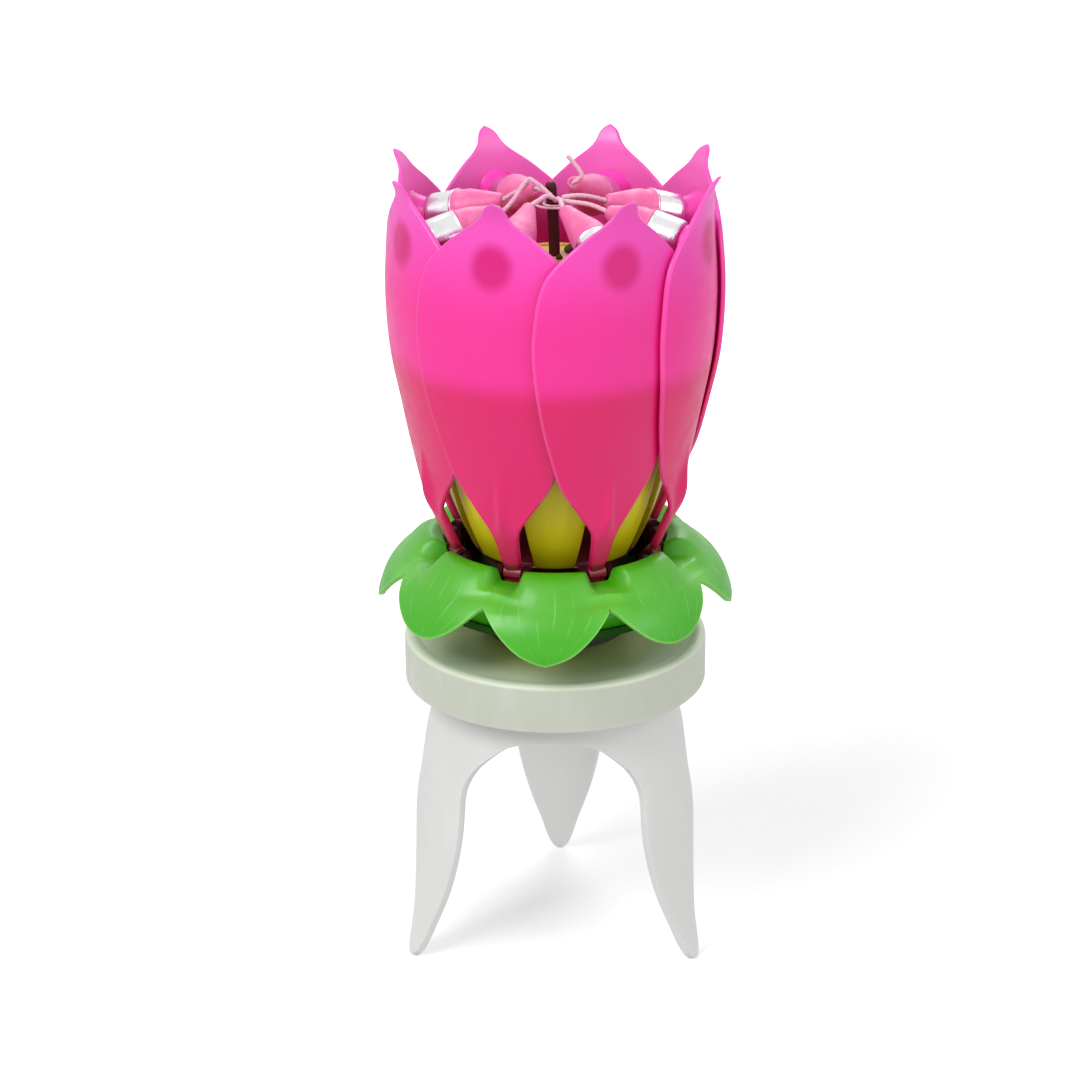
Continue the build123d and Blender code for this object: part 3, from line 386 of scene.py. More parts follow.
def petal_finish():
    f = Finish("petal_plastic", (255, 40, 158), rough=0.38, **SATIN)
    z = f.xyz()["Z"]
    f.wash((232, 8, 108), z, 0.1010, 0.1055, 1.0, 0.0)     # the blade beside the crown: painted shade, where the crown keeps light from shining through
    f.wash((196, 4, 70), z, 0.0715, 0.0800, 0.6, 0.0)      # the stalk
    f.wash((120, 2, 30), z, 0.0716, 0.0727, 0.9, 0.0)      # the knuckle, in painted shade
    f.wash((255, 84, 204), z, 0.1120, 0.1300, 0.0, 0.9)    # the blade's upper half
    # Painted shade: a deeper spot where the post's foot and the cup behind the thin wall keep light from
    # shining through
    f.wash((226, 0, 130), f.value("spot"), 2.0, 4.3, 1.0, 0.0)
    f.tint((255, 120, 208), f.math("MULTIPLY", f.value("inner"), f.map(z, 0.1130, 0.1240, 0.0, 0.75)))
    # Painted light: a paler line along the thin edge, where light shines through
    f.wash((255, 116, 200), f.value("edge"), 0.05, 0.45, 0.3, 0.0)
    f.wash((244, 50, 150), f.noise(60, 3, 0.5), 0.45, 0.75, 0, 0.14)
    f.rough(f.noise(380, 4), 0.3, 0.4)
    f.bump(f.noise(2400, 2), 0.1, 0.02)
    f.bump(f.noise(220, 3, stretch=(1, 1, 0.25)), 0.2, 0.08)
    return f.material


def calyx_finish():
    """Green plastic with faint veins that run out along each sepal."""
    f = Finish("calyx_plastic", (64, 176, 4), rough=0.4, **SATIN)
    run, veins_across_half = f.value("run"), 3.4
    waver = f.math("MULTIPLY", f.math("SUBTRACT", f.noise(160, 2), 0.5), 0.07)
    across = f.math("MULTIPLY", f.math("ADD", f.value("across"), waver), veins_across_half)
    comb = f.math("ABSOLUTE", f.math("SUBTRACT", f.math("FRACT", across), 0.5))
    veins = f.math("MULTIPLY", f.map(comb, 0.01, 0.07, 1.0, 0.0), f.map(run, 0.35, 0.7, 0.0, 1.0))
    gaps = f.map(f.noise(330, 3, stretch=(1, 1, 0.5)), 0.42, 0.6, 0.0, 1.0)
    veins = f.math("MULTIPLY", veins, gaps)
    f.wash((92, 188, 44), run, 0.12, 0.4, 0.0, 0.7)
    # Painted light: the valleys between sepals, which face up more, are lighter
    f.wash((110, 208, 66), f.value("valley"), 0.0, 1.0, 0.0, 0.6)
    f.wash((60, 178, 4), run, 0.62, 1.0, 0.0, 0.75)
    f.tint((140, 218, 96), f.math("MULTIPLY", veins, 0.38))
    f.wash((140, 216, 96), f.value("edge"), 0.1, 0.5, 0.7, 0.0)
    f.wash((62, 168, 12), f.noise(90, 4, 0.6), 0.45, 0.75, 0, 0.25)
    f.rough(f.noise(420, 4), 0.3, 0.42)
    f.bump(f.noise(2400, 2), 0.12, 0.02)
    f.bump(veins, 0.5, 0.06)
    return f.material


def frosted_finish(name, colour, dark):
    """Milky plastic that light goes into."""
    f = Finish(name, colour, rough=0.36, soft=0.35, soft_reach=2.5, coat=0.1, coat_rough=0.3)
    f.put("Subsurface Radius", (1.0, 1.0, 0.95))
    f.wash(dark, f.noise(50, 3, 0.5), 0.4, 0.8, 0, 0.3)
    f.wash((236, 237, 235), f.noise(200, 4, 0.5, stretch=(1, 1, 0.3)), 0.5, 0.8, 0, 0.25)
    f.rough(f.noise(500, 4), 0.3, 0.46)
    f.bump(f.noise(2200, 3), 0.18, 0.03)
    f.bump(f.noise(150, 3, stretch=(1, 1, 0.4)), 0.25, 0.15)
    return f


def stand_finish():
    f = frosted_finish("frosted_plastic", (226, 227, 225), (214, 216, 215))
    f.wash((240, 241, 239), f.xyz()["Y"], 0.008, 0.016, 0.0, 0.8)    # the blade at the back, lightened: painted light where the disc's shadow falls on it
    return f.material


def disc_finish():
    """The disc, with a painted reflection of the calyx's green on its top, painted light on its top and a
    painted highlight along its rim.
    """
    f = frosted_finish("disc_plastic", (204, 209, 194), (190, 197, 176))
    place = f.xyz()
    reach = f.math("SQRT", f.math("ADD", f.math("POWER", place["X"], 2.0), f.math("POWER", place["Y"], 2.0)))
    # Painted light: the top is lighter than the side
    f.wash((226, 232, 208), place["Z"], 0.0538, 0.0542, 0.0, 0.8)
    # Painted reflection of the calyx's green near the middle of the top, which also lifts the shade under the
    # calyx
    top = f.map(place["Z"], 0.0538, 0.0542, 0.0, 1.0)
    f.tint((212, 222, 150), f.math("MULTIPLY", f.map(reach, 0.0150, 0.0232, 0.9, 0.0), top))
    # Painted highlight along the rounded rim of the top
    top = f.map(place["Z"], 0.0536, 0.0542, 0.0, 1.0)
    f.tint((232, 238, 216), f.math("MULTIPLY", f.map(reach, 0.0236, 0.0242, 0.0, 0.9), top))
    return f.material


def wax_finish():
    f = Finish("pink_wax", (250, 116, 178), rough=0.42, soft=0.35, soft_reach=1.6, sheen=0.1)
    f.wash((255, 176, 214), f.noise(420, 5, 0.65), 0.45, 0.8, 0, 0.55)
    f.wash((228, 74, 148), f.noise(800, 4, 0.6, lean=0.6), 0.5, 0.8, 0, 0.4)
    f.rough(f.noise(600, 4), 0.34, 0.55)
    f.bump(f.noise(900, 4, 0.6), 0.5, 0.06)
    return f.material


def cord_finish(name, colour, dark):
    f = Finish(name, colour, rough=0.8, sheen=0.3)
    f.wash(dark, f.noise(1400, 5, 0.7), 0.42, 0.7, 0, 0.6)
    f.bump(f.noise(3000, 4, 0.7, stretch=(1, 1, 0.3)), 0.6, 0.06)
    return f.material


def foil_finish():
    f = Finish("silver_foil", (232, 232, 234), rough=0.2, metal=1.0)
    f.wash((204, 204, 210), f.noise(500, 3, 0.5), 0.45, 0.8, 0, 0.35)
    f.rough(f.noise(700, 4), 0.16, 0.28)
    f.bump(f.noise(500, 2), 0.05, 0.02)
    return f.material


def card_finish(name, colour, dark, low=None, rough=0.55):
    """Wound card with fine fibres; low is the colour of the part that stands inside the crown, painted shade.
    """
    f = Finish(name, colour, rough=rough)
    f.wash(dark, f.noise(1100, 6, 0.7, stretch=(1, 1, 0.35)), 0.45, 0.75, 0, 0.5)
    f.wash((255, 246, 190), f.noise(300, 4), 0.55, 0.8, 0, 0.35)
    # Painted shade on the part inside the crown
    if low:
        f.wash(low, f.xyz()["Z"], 0.105, 0.109, 1.0, 0.0)
    f.bump(f.noise(1600, 5, 0.7), 0.35, 0.05)
    return f.material


def grainy(name, colour, dark, light, rough, scale=1500, depth=0.12):
    f = Finish(name, colour, rough=rough)
    f.wash(dark, f.noise(scale, 6, 0.7), 0.45, 0.7, 0, 0.7)
    f.wash(light, f.cells(scale * 1.3), 0.0, 0.35, 0.6, 0.0)
    f.bump(f.noise(scale, 5, 0.7), 0.7, depth)
    return f.material


def board_finish():
    """A green board with lighter tracks."""
    f = Finish("circuit_board", (28, 112, 62), rough=0.42, coat=0.4)
    tracks = f.cells(420, "DISTANCE_TO_EDGE")
    f.wash((64, 158, 92), tracks, 0.03, 0.07, 0.8, 0.0)
    f.wash((16, 84, 44), f.noise(500, 4), 0.45, 0.75, 0, 0.5)
    f.bump(tracks, 0.3, 0.03)
    return f.material


def shaded(finish, colour, start, end):
    """A material with another colour, painted shade, below a height, in metres."""
    finish.wash(colour, finish.xyz()["Z"], start, end, 1.0, 0.0)
    return finish.material


petal_plastic = petal_finish()
green_plastic = calyx_finish()
frosted_plastic = stand_finish()
disc_plastic = disc_finish()
# Painted shade: the crown's foot, below the gaps, turns dark brown
yellow_plastic = shaded(moulded("yellow_plastic", (214, 200, 6), (226, 214, 40), (194, 178, 2), rough=0.42,
                                soft=0.1), (90, 24, 14), 0.0700, 0.0703)
# Rose plastic darkened with painted shade, so that the hub and its ears read as shadow; painted shade of dark
# green below, under the calyx
hub_plastic = shaded(moulded("hub_plastic", (56, 5, 18), (72, 9, 26), (40, 2, 12), rough=0.75,
                             specular=0.12), (34, 84, 14), 0.0630, 0.0640)
pink_wax = wax_finish()
silver_foil = foil_finish()
wick_cotton = cord_finish("wick_cotton", (252, 204, 224), (240, 164, 196))
fuse_paper = moulded("fuse_paper", (62, 2, 14), (78, 6, 22), (40, 0, 8), rough=0.6, specular=0.3).material
tube_card = card_finish("tube_card", (214, 180, 60), (176, 138, 34), low=(112, 16, 44))
cap_card = card_finish("cap_card", (226, 190, 84), (170, 126, 40), rough=0.5)
pellet = moulded("pellet", (72, 26, 26), (100, 48, 36), (40, 8, 12), rough=0.6).material
white_plastic = moulded("white_plastic", (228, 228, 224), (240, 240, 238), (206, 206, 200), 0.42).material
dark_plastic = moulded("dark_plastic", (44, 56, 40), (62, 76, 56), (26, 34, 24), rough=0.44).material
# Rose plastic darkened with painted shade; it also colours the crown's plate
lid_plastic = moulded("lid_plastic", (96, 10, 30), (116, 20, 44), (70, 4, 20), rough=0.5).material
resin = moulded("chip_resin", (22, 22, 24), (40, 40, 44), (10, 10, 12), rough=0.3, coat=0.5).material
rubber = moulded("band_rubber", (196, 164, 112), (216, 188, 140), (168, 134, 84), 0.6, sheen=0.2).material
ceramic = grainy("ceramic", (228, 222, 208), (206, 198, 180), (240, 236, 226), 0.55, scale=2200, depth=0.03)
clay = grainy("clay", (158, 132, 108), (120, 98, 78), (186, 162, 138), 0.9)
charge = grainy("charge", (70, 70, 74), (34, 34, 38), (122, 120, 116), 0.85, scale=1900, depth=0.15)
steel = metal("steel", (186, 188, 192), (128, 130, 136))
screw_steel = metal("screw_steel", (206, 202, 190), (150, 146, 132), rough=0.3)
cell_steel = metal("cell_steel", (212, 214, 216), (170, 172, 176), rough=0.22, brushed=(1, 30, 1))
motor_can = metal("motor_can", (172, 174, 180), (128, 130, 138), rough=0.32)
brass = metal("brass", (206, 168, 84), (158, 120, 48), rough=0.3)
board = board_finish()

NODE_FINISHES = {
    "spindle": steel, "thrust_washer": white_plastic, "sun_gear": white_plastic, "retaining_clip": steel,
    "mechanism_case": dark_plastic, "spindle_bush": brass, "gear_pin": steel, "motor_plate": white_plastic,
    "motor": motor_can, "battery_contacts": brass, "button_cells": cell_steel, "circuit_board": board,
    "melody_chip": resin, "buzzer_plate": brass, "buzzer_ceramic": ceramic, "contact_pins": steel,
    "switch_block": dark_plastic, "switch_leaves": brass, "case_lid": lid_plastic, "case_screws": screw_steel,
    "petal_hub": hub_plastic, "hub_screws": screw_steel, "hinge_pins": steel, "elastic_band": rubber,
    "clay_plug": clay, "fountain_charge": charge, "reduction_gear": white_plastic, "motor_pinion": brass,
    "fountain_tube": tube_card, "fountain_cap": cap_card,
}
for node_name, finish_of_node in NODE_FINISHES.items():
    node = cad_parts[node_name]
    node.data.materials.clear()
    node.data.materials.append(finish_of_node)

# -------- petals
PETAL_RADIUS_SHARES = [
    (1.301, 0.0), (1.398, 0.041), (1.466, 0.073), (1.594, 0.137), (1.634, 0.185), (1.679, 0.24),
    (1.735, 0.296), (1.836, 0.403), (1.931, 0.51), (1.974, 0.615), (1.978, 0.721), (1.944, 0.822),
    (1.928, 0.877), (1.93, 0.925), (1.966, 0.963), (2.07, 1.0),
]
PETAL_OUTLINE_SHARES = [
    (0.105, 0.018), (0.128, 0.057), (0.18, 0.127), (0.293, 0.169), (0.451, 0.217), (0.594, 0.264),
    (0.695, 0.32), (0.823, 0.408), (0.917, 0.492), (0.974, 0.567), (1.0, 0.646), (0.97, 0.723),
    (0.905, 0.79), (0.83, 0.826), (0.733, 0.852), (0.588, 0.882), (0.425, 0.912), (0.235, 0.943),
    (0.158, 0.963), (0.112, 0.983), (0.0, 1.0),
]
STALK_HALF_WIDTH = 1.4
STALK_THICKNESS = 1.4
STALK_FADE = (76.5, 81.5)           # the heights between which the stalk thins to the blade's wall
RIB_PROUD, RIB_HALF_WIDTH, RIB_FLANK = 0.3, 0.45, 0.45
RIB_TOP = HINGE_LEVEL + 0.25 * PETAL_HEIGHT
RIB_FADE = (RIB_TOP - 2.5, RIB_TOP + 1.5)
RIDGE_PROUD, RIDGE_HALF_WIDTH, RIDGE_NARROWING = 1.25, 1.35, 0.5
RIDGE_RISE, RIDGE_FALL = (75.5, 83), (80, 91)
BEAD_PROUD, BEAD_REACH, BEAD_MIN_WIDTH = 0.06, (1.2, 0.4), 3
THIN_TIP_WIDTH = 0.6
# Below this height the edge gets no painted light
EDGE_TINT_START = 84
# Where the spot of painted shade lies, behind the post's foot
SPOT_SIDE, SPOT_LEVEL, SPOT_STRETCH = 0.4, 122.8, 0.9
# Point values of the pieces that have no painted light along the edge and no spot of painted shade
PLAIN = {"edge": 9, "spot": 99, "inner": 0}

petal_radius = by_height(scaled(PETAL_RADIUS_SHARES, (0, PETAL_HALF_WIDTH), (HINGE_LEVEL, PETAL_TOP)))
petal_outline = spline(scaled(PETAL_OUTLINE_SHARES, (0, PETAL_HALF_WIDTH), (HINGE_LEVEL, PETAL_TOP)))


def petal_lean(z):
    """How far the outline's middle lies to one side at a height."""
    return PETAL_LEAN * (max((z - HINGE_LEVEL) / PETAL_HEIGHT - LEAN_START, 0) / (1 - LEAN_START)) ** 2


def petal_section(w, z):
    """The closed section of half width w at height z: (side, radius) pairs, and 1 for each inner one."""
    proud = RIB_PROUD * max(0.0, 1 - (z - HINGE_LEVEL) / (RIB_TOP - HINGE_LEVEL))
    bar = 1 - smooth(*STALK_FADE, z)
    fade = 1 - smooth(*RIB_FADE, z)
    edge = min(PETAL_WALL / 2 + bar * (STALK_THICKNESS - PETAL_WALL) / 2 * 0.9, 0.9 * w)
    plateau = RIB_HALF_WIDTH + bar * 1.2
    fall = float(smooth(*RIDGE_FALL, z))
    ridge = RIDGE_PROUD * (1 - fall) * float(smooth(*RIDGE_RISE, z))
    ridge_foot = RIDGE_HALF_WIDTH - RIDGE_NARROWING * fall
    r = petal_radius(z)
    middle = r - PETAL_WALL / 2
    thin = min(edge / (PETAL_WALL / 2), 1) if w < THIN_TIP_WIDTH else 1

    def skin(y):
        """The radius of the outer and of the inner face."""
        hump = 1 - smooth(plateau, plateau + RIB_FLANK, abs(y))
        outside = r + proud * hump * fade + ridge * max(0.0, 1 - abs(y) / ridge_foot)
        inside = r - PETAL_WALL - (STALK_THICKNESS - PETAL_WALL - proud) * hump * fade
        bead = BEAD_PROUD * smooth(*BEAD_REACH, w - abs(y)) if w > BEAD_MIN_WIDTH else 0.0
        return [middle + (q - middle) * thin for q in (outside + bead, inside - bead * 0.5)]

    def rim(side, top, low):
        """The rounded edge: from the outer face to the inner one on the right, and back on the left."""
        centre, swing = (top + low) / 2, side * (top - low) / 2
        turn = np.linspace(0, math.pi, 9)[1:-1]
        return [(side * (w - edge + edge * math.sin(a)), centre + swing * math.cos(a)) for a in turn]

    flat = np.linspace(-1, 1, 31) * (w - edge)
    outer = [(y, skin(y)[0]) for y in flat]
    inner = [(y, skin(y)[1]) for y in flat[::-1]]
    right, left = rim(1, outer[-1][1], inner[0][1]), rim(-1, outer[0][1], inner[-1][1])
    is_inner = [0.0] * len(outer + right) + [1.0] * len(inner) + [0.0] * len(left)
    return np.array(outer + right + inner + left), is_inner


def petal_shape():
    """One petal that points along +X: blade, rib, stalk, knuckle, heel and the post for its candle."""
    shape = Shape()
    # The rows lie closer together where the outline closes at the top
    t = np.linspace(0, 1, 100)
    t = np.concatenate([t[:92], 1 - (1 - t[92]) * (1 - np.linspace(0, 1, 14)) ** 1.8])
    outline = petal_outline(t)
    widths = np.maximum(np.concatenate([[STALK_HALF_WIDTH] * 3, outline[:, 0]]), 0.03)
    levels = np.concatenate([[HINGE_LEVEL - 0.4, HINGE_LEVEL, HINGE_LEVEL + 0.5], outline[:, 1]])
    rows, edges, spots, inners = [], [], [], []
    for w, z in zip(widths, levels):
        section, is_inner = petal_section(w, z)
        inners.append(is_inner)
        edges.append(np.maximum(w - np.abs(section[:, 0]), 0))
        section[:, 0] += petal_lean(z)
        x = np.sqrt(np.maximum(section[:, 1] ** 2 - (section[:, 0] + PETAL_OFFSET) ** 2, 0))
        rows.append(np.stack([x, section[:, 0], np.full(len(x), z)], -1))
        spots.append(np.hypot(section[:, 0] - SPOT_SIDE, (z - SPOT_LEVEL) * SPOT_STRETCH))
    drop = np.minimum.accumulate(np.abs(PETAL_TOP - levels))[:, None]
    edges = np.minimum(np.array(edges), drop * 0.5 + 0.05)
    edges[levels < EDGE_TINT_START] = PLAIN["edge"]
    shape.grid(rows, loop=True, cap_start=True, cap_end=True, edge=edges, spot=np.array(spots),
               inner=np.array(inners))

    # Knuckle: a short barrel with a bore, across the foot of the stalk
    barrel = rounded([(0.5, -1.5), (1.1, -1.5), (1.1, 1.5), (0.5, 1.5)], 0.12)
    ring = lathe(barrel + barrel[:1], 28, (HINGE_CIRCLE, 0, HINGE_LEVEL), (0, 1, 0))
    shape.grid(ring, loop=True, **PLAIN)

    # Heel below the knuckle, with the lip that holds the band
    face, bottom = HINGE_CIRCLE + 0.55, HINGE_LEVEL - 3.3
    side = rounded([
        (face - 0.5, HINGE_LEVEL + 0.6), (face, HINGE_LEVEL - 0.6), (face, bottom + 0.3),
        (face + 0.7, bottom + 0.3), (face + 0.7, bottom), (face - 1.1, bottom),
        (face - 1.1, HINGE_LEVEL + 0.6), (face - 0.9, HINGE_LEVEL + 0.6),
    ], 0.1, 3)
    middle_x, middle_z = np.mean(side, axis=0)
    rows = []
    for y, size in [(-1.4, 0.9), (-1.32, 1.0), (1.32, 1.0), (1.4, 0.9)]:
        size_x, size_z = 1 - (1 - size) * 0.3, 1 - (1 - size) * 0.15
        rows.append([((x - middle_x) * size_x + middle_x, y, (z - middle_z) * size_z + middle_z)
                     for x, z in side])
    shape.grid(rows, loop=True, cap_start=True, cap_end=True, **PLAIN)

    # Post: a cone from the middle of the blade's wall to the seat of the cup
    a = circle(40)
    rows = []
    for share, radius in [(0.0, 3.7), (0.08, 3.3), (0.18, 3.05), (0.35, 2.85), (0.65, 2.6), (0.92, 2.44),
                          (1.0, 2.4)]:
        y = radius * np.cos(a)
        z = CUP_SEAT[1] + 0.25 * (1 - share) + radius * np.sin(a)
        wall = np.sqrt((petal_radius(z) - PETAL_WALL / 2) ** 2 - (y + PETAL_OFFSET) ** 2)
        seat = CUP_SEAT[0] + (z - CUP_SEAT[1]) * math.tan(CANDLE_TILT)
        rows.append(np.stack([wall * (1 - share) + seat * share, y, z], -1))
    shape.grid(rows, loop=True, cap_start=True, cap_end=True, **PLAIN)
    return shape


one_petal = petal_shape()
for k, angle in enumerate(PETAL_ANGLES, start=1):
    blade = one_petal.turned(angle)
    blade.build(f"petal_blade_{k}", petal_plastic, f"petal_{k}", [f"petal_{k}"], "pink_plastic")

# -------- candles
seat_point = np.array([CUP_SEAT[0], 0, CUP_SEAT[1]])
cup_direction = (-math.cos(CANDLE_TILT), 0, math.sin(CANDLE_TILT))
CUP_PROFILE = [(0.0, 0.0)] + rounded([
    (0.4, 0.0), (2.85, 0.0), (3.02, 0.14), (3.16, 0.5), (3.2, 0.9), (3.22, 4.6), (3.3, 4.74), (3.36, 4.84),
    (3.33, 4.95), (3.22, 5.0), (3.12, 4.95), (3.05, 4.8), (3.0, 4.5), (3.0, 0.4),
], 0.06, 2) + [(0.0, 0.4)]
cup = Shape()
cup.grid(lathe(CUP_PROFILE, 56, seat_point, cup_direction), loop=True)
for k, angle in enumerate(PETAL_ANGLES, start=1):
    cup.turned(angle).build(f"cup_shell_{k}", silver_foil, f"petal_{k}", [f"candle_cup_{k}"], "silver_foil")

WAX_PROFILE = [
    (0.0, 0.42), (2.6, 0.42), (2.93, 0.5), (2.95, 4.6), (3.02, 4.98), (3.38, 5.03), (3.42, 5.14),
    (3.32, 5.34), (3.1, 5.6), (2.98, 6.0), (2.93, 7.0), (2.86, 7.5), (2.7, 8.1), (2.36, 9.1), (1.98, 10.2),
    (1.62, 11.2), (1.3, 12.1), (1.12, 12.55), (0.86, 12.8), (0.62, 12.88), (0.45, 12.8),
]
WAX_LENGTH = 12.9
WAX_IN_CUP = 4.6                    # the wax bends only beyond this length
WAX_EVEN = 5.2                      # and is uneven only beyond this one
# How far the tip of each candle bends sideways and up, and the points that its wick runs through,
# in the frame of the whole part
CANDLE_BENDS = [(-1.9, 2.0), (0.3, 0.2), (-0.2, 0.3), (0.5, 1.9), (-0.4, 1.0), (0.2, 0.5), (-0.3, 0.2),
                (-0.5, 2.2)]
WICK_RUNS = [
    [(0.9, -4.2, 128.2), (0.5, -2.4, 127.9)],
    [(5.6, -2.4, 126.9), (2.8, -1.9, 127.2), (0.6, -1.6, 127.4)],
    [(6.0, 1.9, 127.0), (3.4, 0.6, 127.6), (1.2, -0.5, 127.6)],
    [(4.3, 7.8, 128.9), (3.7, 7.9, 130.2), (2.0, 8.0, 132.2)],
    [(-2.2, 4.9, 127.5), (-0.9, 2.0, 127.9)],
    [(-6.6, 1.7, 127.6), (-5.0, -0.4, 129.0), (-4.1, -1.3, 130.3)],
    [(-6.0, -2.6, 128.3), (-4.4, -1.95, 130.6), (-4.0, -1.85, 130.9), (-3.5, -1.8, 130.7),
     (-1.6, -1.65, 129.2), (0.4, -1.6, 127.2)],
    [(-2.2, -5.0, 128.4), (-0.9, -2.6, 128.3), (0.2, -2.0, 127.6)],
]
WICK_RADIUS, WICK_TURN = 0.38, 2.2
WAX_SEED, PELLET_SEED = 41, 7


def candle_shapes(index):
    """The wax and the wick of one candle on the +X petal. The wax is a little uneven, as poured wax is."""
    picker = np.random.default_rng(WAX_SEED + index)
    rows = lathe(WAX_PROFILE, 44, seat_point, cup_direction)
    phase = picker.uniform(0, 2 * math.pi, 4)
    a = circle(44)
    aside, rise = CANDLE_BENDS[index]

    def bend(h):
        return np.array([0, aside, rise]) * (max(h - WAX_IN_CUP, 0) / (WAX_LENGTH - WAX_IN_CUP)) ** 1.6

    for i, (_, h) in enumerate(WAX_PROFILE):
        centre = seat_point + np.array(cup_direction) * h
        lump = 1 + 0.012 * np.sin(2 * a + phase[0] + h * 0.5) + 0.008 * np.sin(3 * a + phase[1] - h * 0.9)
        if h > WAX_EVEN:
            rows[i] = centre + (rows[i] - centre) * lump[:, None] + bend(h)
    wax = Shape()
    wax.grid(rows, loop=True)
    inside = (WAX_LENGTH - 1.6, WAX_LENGTH - 0.2)    # the wick starts in the wax
    points = [seat_point + np.array(cup_direction) * h + bend(h) for h in inside]
    points += list(turned(np.array(WICK_RUNS[index]), -PETAL_ANGLES[index]))
    path = spline(points)(np.linspace(0, 1, 90))
    wick = Shape()
    wick.grid(sweep(path, strands(WICK_RADIUS, 18), WICK_TURN, tapered(len(path), 0.85, 0.55)), loop=True,
              cap_start=True, cap_end=True)
    return wax, wick


for k, angle in enumerate(PETAL_ANGLES, start=1):
    wax, wick = candle_shapes(k - 1)
    wax.turned(angle).build(f"wax_{k}", pink_wax, f"petal_{k}", [f"candle_{k}"], "pink_wax")
    wick.turned(angle).build(f"wick_{k}", wick_cotton, f"petal_{k}", (), "thread")

# -------- calyx
HUB_TOP = 61.7
CALYX_CREST, CALYX_TIP = 72.0, 59.6
CALYX_WALL, CALYX_ROUNDING = 0.8, 0.28
LIP_RADIUS, TIP_RADIUS = 18.3, 29.1
CALYX_PROFILE_SHARES = [
    (0.0, 0.07), (0.16, 0.0), (0.35, 0.04), (0.53, 0.18), (0.667, 0.323), (0.806, 0.46), (0.907, 0.605),
    (0.963, 0.742), (1.0, 0.887), (0.981, 1.0),
]
NOTCH_SHARES = [(1.0, 0.0), (0.75, 0.14), (0.53, 0.33), (0.33, 0.56), (0.15, 0.8), (0.0, 1.0)]
NOTCH_HALF_WIDTH, NOTCH_HEIGHT, NOTCH_START = 11.2, 7.8, 0.3
CALYX_TURN = -3
SHORT_SEPALS, SHORT_SHARE, SHORT_ROUNDING = (1, 7), 0.93, 0.45
# Each sepal is arched across, down to a soft floor, and the stalk of an open petal lies in a narrow
# trough. Each pair is a list of radii and the value at each.
ARCH_DEPTH = ([18.3, 20, 22, 24, 26.5, 29], [0.0, 0.12, 0.4, 0.85, 1.1, 0.9])
ARCH_ANGLE = 14
FLOOR_LEVEL = ([18.3, 21.9, 25.5, 27.5], [69.3, 69.1, 67.6, 66.2])
FLOOR_SOFTNESS = 0.3
TROUGH_HALF_WIDTH = 1.5
TROUGH_REACH = ([18.3, 19.5, 21.5, 23.5], [2.4, 2.9, 4.0, 4.8])
TROUGH_LEVEL = ([18.3, 23.5, 25.0], [69.3, 69.2, 68.9])
calyx_line = spline(scaled(CALYX_PROFILE_SHARES, (LIP_RADIUS, TIP_RADIUS), (CALYX_CREST, CALYX_TIP)))
notch_width = by_height(scaled(NOTCH_SHARES, (0, NOTCH_HALF_WIDTH), (CALYX_TIP, CALYX_TIP + NOTCH_HEIGHT)))


def off_petal(angle):
    """The angle to the nearest petal's middle, in degrees."""
    return min(abs((angle - p + 180) % 360 - 180) for p in PETAL_ANGLES)


def sepal_line(k, s, rows):
    """A line down sepal k at a share s of its half width: points, and the values that its colours go by."""
    dense = np.linspace(0, 1, 1200)
    radius, level = calyx_line(dense).T
    side = radius * math.sin(math.radians(HALF_STEP * (1 - abs(s))))
    notched = (side < notch_width(level)) & (level < CALYX_TIP + NOTCH_HEIGHT) & (dense > NOTCH_START)
    last = dense[notched][0] if notched.any() else 1.0
    if k in SHORT_SEPALS:
        last = min(last, SHORT_SHARE - SHORT_ROUNDING * s * s)
    share = np.linspace(0, 1, rows)
    share = share * 0.75 + 0.25 * np.sin(share * math.pi / 2)
    radius, level = calyx_line(share * last).T
    angle = math.radians(-90 + CALYX_TURN + PETAL_STEP * k + s * HALF_STEP)
    low = level - np.interp(radius, *ARCH_DEPTH) * (HALF_STEP * s / ARCH_ANGLE) ** 2
    floor = np.minimum(np.interp(radius, *FLOOR_LEVEL), level)
    arched = np.minimum((low + floor + np.sqrt((low - floor) ** 2 + FLOOR_SOFTNESS)) / 2, level)
    beside = radius * math.sin(math.radians(off_petal(math.degrees(angle))))
    reach = np.interp(radius, *TROUGH_REACH)
    dip = 1 - smooth(0, 1, (beside - TROUGH_HALF_WIDTH) / (reach - TROUGH_HALF_WIDTH))
    z = arched - np.maximum(arched - np.interp(radius, *TROUGH_LEVEL), 0) * dip
    run = np.clip((radius - LIP_RADIUS) / (TIP_RADIUS - LIP_RADIUS), 0, 1)
    notch = notch_width(np.maximum(level, CALYX_TIP)) * (level < CALYX_TIP + NOTCH_HEIGHT)
    half = np.maximum(radius * math.sin(math.radians(HALF_STEP)) - notch, 0.6)
    return np.stack([radius * math.cos(angle), radius * math.sin(angle), z], -1), {
        "across": np.clip(radius * math.sin(math.radians(HALF_STEP * s)) / half, -1, 1),
        "run": run,
        "valley": np.clip((HALF_STEP * abs(s) / 20) ** 4, 0, 1) * smooth(0.05, 0.4, run),
        "edge": (1 - share) * last * 18.0,
    }


def calyx_shape():
    """The upper skin of eight drooping sepals, from the lip to each sepal's edge."""
    columns, rows = 56, 52
    lines = []
    for k in range(PETAL_COUNT):
        for j in range(columns):
            s = -1 + 2 * j / columns
            lines.append(sepal_line(k, math.sin(s * math.pi / 2) * 0.35 + s * 0.65, rows))
    shape = Shape()
    values = {name: np.array([value[name] for _, value in lines]) for name in lines[0][1]}
    shape.grid([points for points, _ in lines], ring=True, **values)
    return shape


calyx = calyx_shape().build("calyx_sepals", green_plastic, "head", ["calyx"], "green_plastic")
thicken(calyx, CALYX_WALL, CALYX_ROUNDING)

